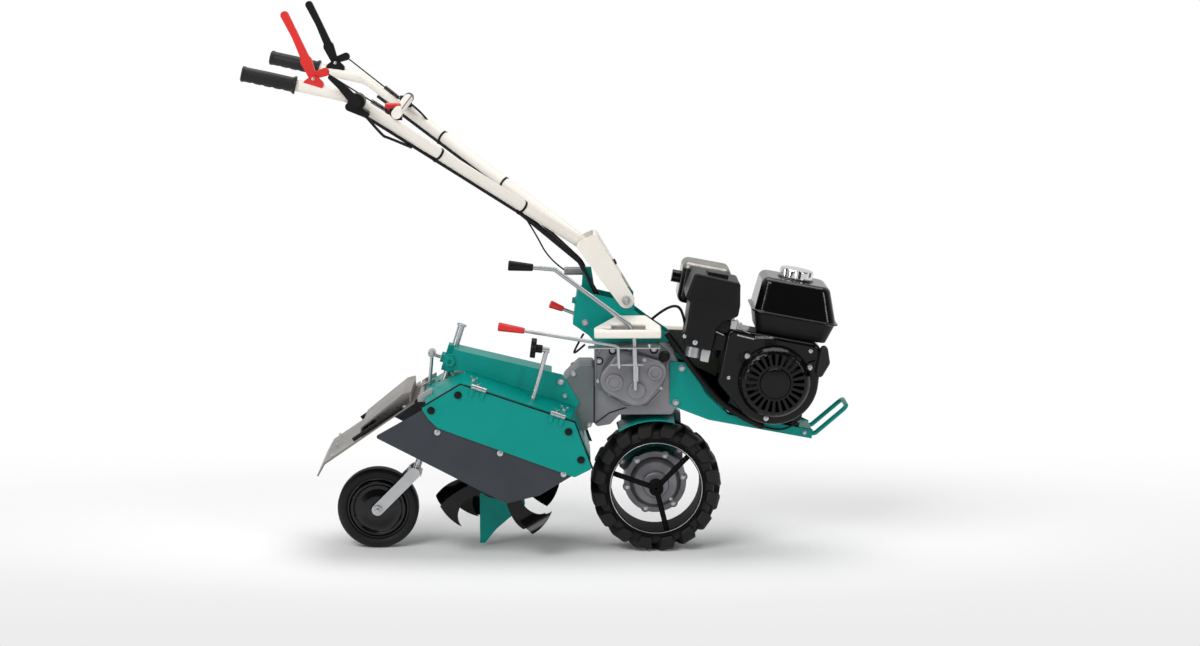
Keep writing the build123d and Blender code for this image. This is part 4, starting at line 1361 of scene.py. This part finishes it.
@dataclass
class Engine:
    """Petrol engine on its frame."""

    body: str = "chassis"
    coats: tuple[Coat, ...] = (
        ("engine_frame", GREEN, 0.9), ("front_loop", GREEN, 0.0), ("engine_block", BLACK, 2.0),
        ("fan_shroud", BLACK, 0.8), ("recoil_cover", BLACK, 0.8), ("starter_grip", VINYL, 0.0),
        ("fuel_tank", LACQUER, 2.2, 4), ("fuel_cap", CHROME, 0.0), ("air_cleaner", NYLON, 1.0),
        ("carburettor", ALLOY, 1.0), ("muffler", BLACK, 0.6), ("belt_cover", CREAM, 4.0, 4),
    )
    # Where a piece changes its finish: engine measures, and the belt cover's inner face, which takes a painted
    # shade.
    tank_seam_w: float = 139.5
    guard_w: float = 190.0
    outlet_u: float = -234.2
    cover_inside_y: float = 86.0
    hose_pitch: float = 4.6
    hose_r: float = 7.5
    hose_groove: float = 0.9
    conduit: tuple[Point, ...] = (
        (22, -63.8, 474), (72, -63.8, 405), (95, -63.8, 373), (157, -63.8, 299), (237, -63.8, 262),
    )
    cables: tuple[Bar, ...] = (
        (((-12, -46, 500), (12, -60, 524), (46, -66, 538), (60, -66, 512), (64, -60, 480)), 3.0, True),
        (((237, -63.8, 262), (262, -63.8, 255), (290, -70, 258), (312, -60, 270)), 2.2, True),
    )
    # From here on, places are in the engine's own measures.
    rope: tuple[Bar, ...] = ((((80, -150, 60), (64, -148, 52)), 2.2, False),)
    shroud_y: float = -140.0
    louvre_rings: tuple[float, ...] = (83.5, 87.5, 91.5, 95.5)
    louvre_arcs: tuple[Pair, ...] = ((98.0, 116.0), (150.0, 162.0))
    louvre_steps: int = 8
    louvre_r: float = 1.5
    cleaner_seam: tuple[Bar, ...] = ((((-221, -139.6, 148), (-106, -139.6, 148)), 0.9, False),)
    mouldings: tuple[Box, ...] = (
        ((-186, -112, 196), (-140, -58, 208), 2.0), ((-150, -128, 84), (-112, -84, 112), 3.0),
        ((-146, -132, 44), (-118, -96, 80), 3.0),
    )
    fuel_tap: tuple[Box, ...] = (
        ((-168, -116, 10), (-146, -84, 40), 4.0), ((-118, -137, 96), (-104, -130, 116), 2.0),
    )
    links: tuple[Bar, ...] = (
        (((-154, -133, 86), (-128, -133, 80)), 1.6, False), (((-100, -141, 86), (-62, -141, 84)), 1.6, False),
        (((-104, -134, 106), (-84, -136, 96), (-70, -138, 92)), 1.4, True),
    )
    governor: tuple[Point, Point] = ((-60, -139, 88), (-20, -139, 94))
    governor_coil: Coil = Coil(3.2, 0.6, 14)
    ear_angles: tuple[float, ...] = (147.0, 33.0, 268.0)
    # Circle of heads on the starter cover: radius, place across the machine and scale.
    ears: Point = (83.0, -146.0, 1.15)
    screws: tuple[tuple[Point, float], ...] = (
        ((65, -140, 80), 0.9), ((-187, -140, 53), 1.1), ((-212, -138, 62), 0.8), ((-100, -140, -10), 0.8),
    )

    def castings(self) -> None:
        """Dress the engine and its frame."""
        dress_all(self.coats, {
            "fuel_tank": ((NYLON, lambda spot: engine_place(spot)[1] < self.tank_seam_w),),
            "muffler": (
                (EXHAUST, lambda spot: engine_place(spot)[1] > self.guard_w),
                (ALLOY, lambda spot: engine_place(spot)[0] < self.outlet_u),
            ),
            # The belt cover's faces nearer the middle get a dark olive that paints the shade inside the cover.
            "belt_cover": ((INSIDE_SHADE, lambda spot: spot.y < self.cover_inside_y * MM),),
        })

    def hoses(self) -> None:
        """Corrugated conduit, throttle cable and starter rope."""
        path = path_curve([at(*point) for point in self.conduit])
        sizes = {"Pitch": self.hose_pitch * MM, "Radius": self.hose_r * MM, "Depth": self.hose_groove * MM}
        hose = hose_tree().grow("corrugated_conduit", sizes, NYLON, path)
        keep(hose, self.body, NYLON, "wire_conduit")
        add("engine_cables", self.body, NYLON, bars(self.cables) + bars(self.rope, on_engine))

    def louvres(self) -> None:
        """Raised louvres of the shroud, around the starter cover."""
        rows = []
        for low, high in self.louvre_arcs:
            step = (high - low) / self.louvre_steps
            angles = tuple(low + step * k for k in range(self.louvre_steps + 1))
            for radius in self.louvre_rings:
                path = tuple((u, self.shroud_y, w) for u, w in around(radius, angles))
                rows.append((path, self.louvre_r, False))
        add("shroud_louvres", self.body, LACQUER, bars(tuple(rows), on_engine))

    def fittings(self) -> None:
        """Air-cleaner seam and clip, fuel tap, links and screws."""
        moulded = bars(self.cleaner_seam, on_engine) + engine_slabs(self.mouldings)
        add("engine_mouldings", self.body, NYLON, moulded)
        add("engine_links", self.body, ZINC, engine_slabs(self.fuel_tap) + bars(self.links, on_engine))
        foot, head = (on_engine(*end) for end in self.governor)
        coil("governor_spring", self.body, foot, head, self.governor_coil, ZINC)
        radius, y, scale = self.ears
        spots = [(on_engine(u, y, w), RIGHT, scale) for u, w in around(radius, self.ear_angles)]
        spots += [(on_engine(*place), RIGHT, scale) for place, scale in self.screws]
        fasteners("engine_screws", self.body, PAN_SCREW, spots, ZINC)

    def build(self) -> None:
        """Build the engine."""
        self.castings()
        self.hoses()
        self.louvres()
        self.fittings()


@dataclass
class RotaryUnit:
    """Hooded rotor with its side panels, flap and gauge wheel."""

    coats: tuple[Coat, ...] = (
        ("rotary_beam", GREEN, 0.9), ("rotary_hood", GREEN, 0.6), ("flap_hinge", ZINC, 0.6),
        ("stay_rods", ZINC, 0.4), ("side_panel_right", GREEN, 0.3), ("side_skirt_right", CHARCOAL, 0.5),
        ("side_panel_left", GREEN, 0.3), ("side_skirt_left", CHARCOAL, 0.5), ("rear_flap", SHEET, 0.6),
        ("flap_sheet", SHEET, 0.6),
    )
    wheel_coats: tuple[Coat, ...] = (
        ("rotor_shaft", BLACK, 0.8), ("rotor_tines", BLACK, 0.8), ("gauge_stem", ZINC, 0.6),
        ("gauge_fork", ZINC, 0.7), ("gauge_disc", LACQUER, 1.5, 3), ("gauge_tyre", RUBBER, 1.5, 3),
    )
    # Bright hinge leaves lie outside these distances from the middle, and above the panel's top edge.
    hood_leaf_y: float = 139.6
    panel_leaf_y: float = 150.1
    leaf_rise: float = 0.3
    panel_y: float = 147.0
    panel_face: float = 150.0
    # Dark bar along the panel's outline: painted shade in the gap where the panel stands off the skirt.
    shade_edge: tuple[Pair, ...] = ((-519.0, 322.0), (-431.0, 375.5), (-181.0, 290.5), (-142.5, 186.0))
    shade_edge_r: float = 2.0
    shade_edge_sink: float = 1.2
    top_edge: tuple[Pair, ...] = ((-430.0, 374.0), (-182.0, 289.0))
    bumps: tuple[Pair, ...] = ((-436.0, 351.0), (-495.0, 317.0), (-195.0, 269.0), (-168.0, 206.0))
    screws: tuple[Pair, ...] = ((-482.0, 268.0), (-345.0, 221.0), (-206.0, 174.0))
    screw_scale: float = 1.35
    # Wing nuts on the edge strips: place along and across the machine and scale.
    wings: tuple[Point, ...] = (
        (-402.0, 112.0, 0.8), (-391.0, 128.0, 0.55), (-204.0, 112.0, 0.8), (-218.0, 128.0, 0.55),
    )
    nut_r: Pair = (6.0, 4.0)
    nut_h: float = 7.0
    nut_sides: int = 16
    nut_edge: float = 0.8
    wing_at: Pair = (7.0, 9.0)
    wing_lean: float = 0.5
    wing_size: Point = (5.0, 2.4, 11.0)
    deck_rear: Pair = (-421.0, 388.0)
    deck_front: Pair = (-181.0, 307.0)
    deck_half: float = 80.0
    edge_half: float = 139.0
    edge_drop: float = 13.5
    hood_bolts: tuple[Mark, ...] = (
        ((-212, -62, 364), RIGHT, 1.3), ((-272.5, -100, 337), Vector((36, 0, 126)), 1.1),
        ((-268, -100, 352), Vector((36, 0, 126)), 1.0), ((-203, -62, 332), RIGHT, 0.9),
        ((-499, 10, 419), LEFT, 1.1), ((-499, -10, 419), RIGHT, 1.1),
    )
    flap_strips: tuple[Bar, ...] = (
        (((-668, -123, 247), (-560, -123, 320)), 4.5, False), (((-668, 123, 247), (-560, 123, 320)), 4.5, False),
    )
    flap_back: Point = (-0.56, 0.0, 0.83)
    # Rivets of the flap: place and scale.
    rivets: tuple[tuple[Point, float], ...] = (
        ((-556, -112, 318), 0.9), ((-556, 112, 318), 0.9),
        ((-716, -112, 211), 0.7), ((-716, 0, 211), 0.7), ((-716, 112, 211), 0.7),
    )
    gauge_bolt: tuple[Mark, ...] = (((-623, -40, 67.6), RIGHT, 1.2), ((-623, 40, 67.6), LEFT, 1.2))

    def on_strip(self, x: float, y: float) -> tuple[Vector, Vector]:
        """Point and outward direction on the hood's sloping edge strip.

        Args:
            x: Side-view place along the deck in millimetres.
            y: Distance across the machine in millimetres, to the left.

        Returns:
            The point and the strip's normal.
        """
        rear, front = (Vector((along, 0.0, above)) for along, above in (self.deck_rear, self.deck_front))
        run = (rear - front).normalized()
        up = Vector((run.z, 0.0, -run.x))
        share = (abs(y) - self.deck_half) / (self.edge_half - self.deck_half)
        side = math.copysign(1.0, y)
        level = self.deck_front[1] + (x - self.deck_front[0]) * run.z / run.x
        foot = at(x, y, level) - up * share * self.edge_drop * MM
        normal = up * (self.edge_half - self.deck_half) + Vector((0.0, side * self.edge_drop, 0.0))
        return foot, normal.normalized()

    def above_panel(self, spot: Vector) -> float:
        """Height of a point above the side panel's top edge.

        Args:
            spot: Point in the shared frame.

        Returns:
            Millimetres square to the edge.
        """
        rear, front = (at(x, 0, z) for x, z in self.top_edge)
        run = (front - rear).normalized()
        reach = spot - rear
        return (reach.z * run.x - reach.x * run.z) / MM

    def on_leaf(self, spot: Vector) -> bool:
        """True for a point on a side panel's hinge leaves."""
        return abs(spot.y) > self.panel_leaf_y * MM and self.above_panel(spot) > self.leaf_rise

    def wing_nut(self) -> Mesh:
        """Wing nut about its own foot.

        Returns:
            The mesh.
        """
        work = bmesh.new()
        low_r, high_r = (radius * MM for radius in self.nut_r)
        bmesh.ops.create_cone(
            work, cap_ends=True, segments=self.nut_sides, radius1=low_r, radius2=high_r, depth=self.nut_h * MM,
            matrix=Matrix.Translation((0, 0, self.nut_h / 2 * MM)),
        )
        out, rise = (reach * MM for reach in self.wing_at)
        size = Matrix.Diagonal((*(side * MM for side in self.wing_size), 1))
        for side in (-1, 1):
            place = Matrix.Translation((side * out, 0, rise)) @ Matrix.Rotation(side * self.wing_lean, 4, "Y")
            bmesh.ops.create_cube(work, size=1.0, matrix=place @ size)
        return rounded(mesh_of(work, "wing_nut"), self.nut_edge)

    def sheets(self) -> None:
        """Dress the beam, hood, panels and flap, with bright hinge leaves."""
        leaves = ((ZINC, self.on_leaf),)
        dress_all(self.coats, {
            "rotary_hood": ((ZINC, lambda spot: abs(spot.y) > self.hood_leaf_y * MM),),
            "side_panel_right": leaves, "side_panel_left": leaves,
        })

    def panel_trim(self, side: str, sign: float) -> None:
        """Dark bar around the panel's edge, painted shade of the gap between panel and skirt, with the rubber
        stops and screws of one side panel.

        Args:
            side: Name of the side.
            sign: Minus one for the right and one for the left.
        """
        body = f"{side}_panel"
        out = Vector((0.0, sign, 0.0))
        # A dark bar along the outline paints the shade of the gap around the panel.
        edge = [at(x, sign * (self.panel_face - self.shade_edge_sink), z) for x, z in self.shade_edge]
        add(f"panel_edge_{side}", body, NYLON, [swept(edge, self.shade_edge_r, False)])
        stops = [(at(x, sign * self.panel_face, z), out, 1.0) for x, z in self.bumps]
        fasteners(f"panel_stops_{side}", body, RUBBER_STOP, stops, NYLON)
        heads = [(at(x, sign * self.panel_y, z), out, self.screw_scale) for x, z in self.screws]
        fasteners(f"skirt_screws_{side}", body, PAN_SCREW, heads, ZINC)

    def fittings(self) -> None:
        """Wing nuts and bolts on the hood and beam, and the flap's rubber strip."""
        spots = []
        for sign in (-1.0, 1.0):
            for x, y, scale in self.wings:
                spots.append((*self.on_strip(x, sign * y), scale))
        scattered("wing_nuts", "chassis", self.wing_nut(), spots, ZINC)
        fasteners("hood_bolts", "chassis", HEX_BOLT, marks(self.hood_bolts), ZINC)
        add("flap_strip", "flap", NYLON, bars(self.flap_strips))
        back = Vector(self.flap_back)
        rivets = [(at(*place), back, scale) for place, scale in self.rivets]
        fasteners("flap_rivets", "flap", PAN_SCREW, rivets, ZINC)

    def build(self) -> None:
        """Build the rotary unit."""
        self.sheets()
        self.panel_trim("right", -1.0)
        self.panel_trim("left", 1.0)
        self.fittings()
        dress_all(self.wheel_coats)
        fasteners("gauge_bolt", "gauge_post", HEX_BOLT, marks(self.gauge_bolt), ZINC)


@dataclass
class Handle:
    """Tilting handle with its controls."""

    body: str = "handle"
    coats: tuple[Coat, ...] = (
        ("handle_column", IVORY, 1.0), ("handle_tubes", IVORY, 0.0), ("grips", VINYL, 0.4),
        ("lever_brackets", NYLON, 0.8), ("lever_red", RED, 1.2), ("lever_black", NYLON, 1.2),
        ("throttle", NYLON, 1.2), ("cross_tube", IVORY, 0.6),
    )
    late_coats: tuple[Coat, ...] = (("stop_switch", RED, 0.8), ("control_cables", NYLON, 0.0))
    clamp_y: Pair = (163.5, 188.6)
    switch_z: float = 976.0
    cross: Pair = (-557.4, 970.9)
    cap_y: Pair = (189.0, 228.0)
    cap_r: float = 11.8
    knee: Point = (-165.0, 26.0, 668.0)
    bend: Point = (-655.0, 262.0, 1010.0)
    tube_r: float = 12.5
    cable_r: float = 3.5
    right_ties: tuple[float, ...] = (0.262, 0.623)
    left_ties: tuple[float, ...] = (0.354, 0.64)
    # Width and thickness of a tie, the cables' direction from the tube and their gaps to it.
    tie: Pair = (5.0, 1.1)
    below: Point = (-0.572, 0.0, -0.82)
    cable_gap: float = 0.4
    side_gap: float = 3.0
    side_share: float = 0.45
    # The throttle's cable: free places, then shares along the tube with the distance below it.
    throttle_free: tuple[Point, ...] = ((-622, -262, 972), (-585, -250, 925))
    throttle_tied: tuple[Pair, ...] = ((0.84, 34.0), (0.74, 24.0))
    throttle_r: float = 3.0
    loops: tuple[Bar, ...] = (
        (((-575, -140, 962), (-560, -150, 925), (-520, -190, 905), (-478, -178, 872)), 2.4, True),
        (((-552, 176, 962), (-524, 188, 938), (-500, 194, 900), (-470, 176, 866)), 2.4, True),
    )
    lever: Point = (-727.0, 267.0, 1048.0)
    cam: Pair = (25.0, 13.0)
    wire_clip: Point = (-575.0, 184.0, 971.0)
    spring_ends: Pair = (0.004, 0.05)
    spring: Coil = Coil(4.0, 0.8, 13)
    pin_y: Pair = (278.0, 256.0)
    pin_scale: float = 0.7
    plug: tuple[Mark, ...] = (((-93, 0, 623), Vector((0.888, 0.0, 0.46)), 0.9),)
    lock_path: tuple[Point, ...] = ((-300, -92, 752), (-268, -74, 700), (-238, -32, 634), (-203, 0, 605))
    lock_r: float = 1.8

    def on_tube(self, share: float, side: float) -> Vector:
        """Point on the long straight run of a tube.

        Args:
            share: Zero at the lower knee and one at the upper bend.
            side: Minus one for the right tube and one for the left.

        Returns:
            The point in the shared frame.
        """
        x, y, z = (low + share * (high - low) for low, high in zip(self.knee, self.bend))
        return at(x, side * y, z)

    def frame(self) -> None:
        """Dress the tubes and controls and close the cross tube's left end."""
        near, far = (y * MM for y in self.clamp_y)
        base_z = at(0, 0, self.switch_z).z
        dress_all(self.coats, {
            "lever_brackets": ((RED, lambda spot: spot.y < 0),),
            "cross_tube": ((NYLON, lambda spot: near < abs(spot.y) < far),),
        })
        cap = [at(self.cross[0], y, self.cross[1]) for y in self.cap_y]
        add("cross_tube_cap", self.body, NYLON, [swept(cap, self.cap_r, False)])
        dress_all(self.late_coats, {"stop_switch": ((NYLON, lambda spot: spot.z < base_z),)})

    def tie_bands(self) -> None:
        """Cable ties around each tube and the cables below it."""
        drop = Vector(self.below) * (self.tube_r + self.cable_r + self.cable_gap) * MM
        inward = Vector((0.0, self.tube_r + self.side_gap, 0.0)) * MM
        bands = []
        for side, ties in ((-1.0, self.right_ties), (1.0, self.left_ties)):
            along = self.on_tube(1.0, side) - self.on_tube(0.0, side)
            for share in ties:
                tube = self.on_tube(share, side)
                held = [(tube, self.tube_r), (tube + drop, self.cable_r)]
                if side < 0:
                    held.append((tube + drop * self.side_share + inward, self.cable_r))
                bands.append(strap(held, along, *self.tie))
        add("cable_ties", self.body, NYLON, bands)

    def cables(self) -> None:
        """Loops of cable below the controls."""
        throttle = [at(*point) for point in self.throttle_free]
        throttle += [self.on_tube(share, -1.0) - UP * drop * MM for share, drop in self.throttle_tied]
        add("cable_loops", self.body, NYLON, [swept(throttle, self.throttle_r)] + bars(self.loops))

    def lever_parts(self) -> None:
        """Springs on the lever wires, the levers' pins and the column's plug."""
        x, y, z = self.lever
        pins = []
        for side, name in ((-1.0, "right"), (1.0, "left")):
            clip = at(self.wire_clip[0], side * self.wire_clip[1], self.wire_clip[2])
            cam = at(x + self.cam[0], side * y, z + self.cam[1])
            toward = (cam - clip).normalized()
            foot, head = (clip + toward * reach for reach in self.spring_ends)
            coil(f"lever_spring_{name}", self.body, foot, head, self.spring, NYLON)
            for reach, out in zip(self.pin_y, (side, -side)):
                pins.append((at(x, side * reach, z), Vector((0.0, out, 0.0)), self.pin_scale))
        fasteners("lever_pins", self.body, PAN_SCREW, pins, ZINC)
        fasteners("column_plug", self.body, RUBBER_STOP, marks(self.plug), NYLON)

    def lock_wire(self) -> None:
        """Wire from the handle down to the locking pin, which stays on the chassis."""
        path = [at(*point) for point in self.lock_path]
        wire = finished("lock_wire", swept(path, self.lock_r))
        wire.data.materials.append(NYLON.material())
        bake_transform(wire)
        LOG.info("%s from %s to chassis, %d faces", wire.name, self.body, len(wire.data.polygons))

    def build(self) -> None:
        """Build the handle."""
        self.frame()
        self.tie_bands()
        self.cables()
        self.lever_parts()
        self.lock_wire()


@dataclass(frozen=True)
class Lamp:
    """Soft rectangular lamp: its middle, the point that it faces, its size in metres and its power."""

    name: str
    place: Point
    aim: Point
    size: Pair
    watts: float

    def build(self) -> None:
        """Hang the lamp."""
        data = bpy.data.lights.new(self.name, "AREA")
        data.shape = "RECTANGLE"
        data.size, data.size_y = self.size
        data.energy = self.watts
        place = Vector(self.place)
        turn = (place - Vector(self.aim)).to_track_quat("Z", "Y")
        linked(self.name, data).matrix_world = Matrix.LocRotScale(place, turn, None)


@dataclass
class Studio:
    """Pale floor, soft lamps, white surround and the camera."""

    eye: Point = (0.024175, -5.8, 1.45052)
    tilt: Point = (80.78, 0.0, -0.76)
    lens_mm: float = 79.09
    sensor_mm: float = 36.0
    floor_half: float = 60.0
    # The lit floor is an oval: where its fade starts and ends, its depth factor and its shift backwards.
    pool: Pair = (0.75, 1.75)
    pool_depth: float = 2.2
    pool_shift: float = -0.55
    # Floor depth and glow level at the front edge of the picture and where the floor turns white; the dimmer glow
    # in front is painted shade on the near floor.
    front: Pair = (-0.8, 0.84)
    back: Pair = (1.0, 1.0)
    # Direction and level of the surround in front of the machine and behind it, and its light.
    dim: Pair = (-0.35, 0.05)
    bright: Pair = (0.6, 0.75)
    ambient: float = 0.26
    lamps: tuple[Lamp, ...] = (
        Lamp("key", (-1.7, -2.6, 3.3), (0, 0, 0.4), (2.6, 1.8), 84),
        Lamp("top", (0.3, 0.5, 3.6), (0, 0, 0.3), (3.4, 2.2), 74),
        Lamp("left_strip", (-2.9, -2.9, 1.3), (0, 0, 0.5), (0.35, 2.2), 22),
        Lamp("right_strip", (2.7, -2.6, 1.5), (0, 0, 0.5), (0.4, 2.2), 26),
    )

    def slope(
        self, tree: NodeTree, value: Socket, low: Pair, high: Pair
    ) -> Socket:
        """Level that runs straight between two points and stays the same beyond them.

        Args:
            tree: Tree that gets the node.
            value: Socket of the measure that it follows.
            low: Measure and level at one end.
            high: Measure and level at the other end.

        Returns:
            Socket of the level.
        """
        ends = {
            "Value": value, "From Min": low[0], "From Max": high[0], "To Min": low[1], "To Max": high[1],
        }
        return add_node(tree, "ShaderNodeMapRange", ends).outputs["Result"]

    def seen(self, tree: NodeTree) -> Socket:
        """Mask of the rays that show the surround itself.

        Args:
            tree: Tree that gets the nodes.

        Returns:
            Socket that is one for camera, glossy and transmission rays.
        """
        path = add_node(tree, "ShaderNodeLightPath").outputs
        mask = path["Is Camera Ray"]
        for other in ("Is Glossy Ray", "Is Transmission Ray"):
            mask = add_node(tree, "ShaderNodeMath", {0: mask, 1: path[other]}, operation="MAXIMUM").outputs[0]
        return mask

    def floor(self) -> None:
        """Pale floor that keeps the shadow near the machine and fades to white around it."""
        mesh = bpy.data.meshes.new("floor")
        h = self.floor_half
        mesh.from_pydata([(-h, -h, 0), (h, -h, 0), (h, h, 0), (-h, h, 0)], [], [(0, 1, 2, 3)])
        material = bpy.data.materials.new("pale_floor")
        material.use_nodes = True
        tree = material.node_tree
        tree.nodes.clear()
        place = add_node(tree, "ShaderNodeTexCoord").outputs["Object"]
        oval = add_node(
            tree, "ShaderNodeVectorMath",
            {0: place, 1: (1.0, self.pool_depth, 1.0), 2: (0.0, self.pool_shift, 0.0)}, operation="MULTIPLY_ADD",
        )
        far = add_node(tree, "ShaderNodeVectorMath", {0: oval.outputs["Vector"]}, operation="LENGTH")
        depth = add_node(tree, "ShaderNodeSeparateXYZ", {"Vector": place}).outputs["Y"]
        level = self.slope(tree, depth, self.front, self.back)
        fade = add_node(
            tree, "ShaderNodeMapRange",
            {"Value": far.outputs["Value"], "From Min": self.pool[0], "From Max": self.pool[1]},
            interpolation_type="SMOOTHSTEP",
        )
        share = add_node(
            tree, "ShaderNodeMath", {0: fade.outputs["Result"], 1: self.seen(tree)}, operation="MULTIPLY"
        )
        matt = add_node(tree, "ShaderNodeBsdfDiffuse", {"Color": linear("FCFCFC")})
        white = add_node(tree, "ShaderNodeEmission", {"Color": linear("FFFFFF"), "Strength": level})
        mix = add_node(
            tree, "ShaderNodeMixShader", {0: share.outputs[0], 1: matt.outputs[0], 2: white.outputs[0]}
        )
        add_node(tree, "ShaderNodeOutputMaterial", {"Surface": mix.outputs[0]})
        material.cycles.emission_sampling = "NONE"
        mesh.materials.append(material)
        linked("floor", mesh)

    def surround(self) -> None:
        """White surround for the camera, dimmer in front of the machine for what reflects it."""
        world = bpy.data.worlds.new("studio")
        bpy.context.scene.world = world
        world.use_nodes = True
        tree = world.node_tree
        tree.nodes.clear()
        direction = add_node(tree, "ShaderNodeTexCoord").outputs["Generated"]
        split = add_node(tree, "ShaderNodeSeparateXYZ", {"Vector": direction})
        behind = self.slope(tree, split.outputs["Y"], self.dim, self.bright)
        camera = add_node(tree, "ShaderNodeLightPath").outputs["Is Camera Ray"]
        level = add_node(tree, "ShaderNodeMath", {0: behind, 1: camera}, operation="MAXIMUM").outputs[0]
        white = linear("FFFFFF")
        shown = add_node(tree, "ShaderNodeBackground", {"Color": white, "Strength": level})
        ambient = add_node(tree, "ShaderNodeBackground", {"Color": white, "Strength": self.ambient})
        mix = add_node(
            tree, "ShaderNodeMixShader", {0: self.seen(tree), 1: ambient.outputs[0], 2: shown.outputs[0]}
        )
        add_node(tree, "ShaderNodeOutputWorld", {"Surface": mix.outputs[0]})

    def camera(self) -> None:
        """Camera at the photograph's viewpoint."""
        data = bpy.data.cameras.new("camera")
        data.lens = self.lens_mm
        data.sensor_width = self.sensor_mm
        data.sensor_fit = "HORIZONTAL"
        camera = linked("camera", data)
        camera.location = self.eye
        camera.rotation_euler = [math.radians(angle) for angle in self.tilt]
        bpy.context.scene.camera = camera

    def build(self) -> None:
        """Set the stage."""
        self.floor()
        self.surround()
        for lamp in self.lamps:
            lamp.build()
        self.camera()
        bpy.context.scene.view_settings.view_transform = "Standard"


def main() -> None:
    """Build every sub-assembly and the studio."""
    logging.basicConfig(level=logging.INFO, format="%(message)s")
    DriveWheel().build()
    GearCase().build()
    Engine().build()
    RotaryUnit().build()
    Handle().build()
    Studio().build()


if __name__ == "__main__":
    main()
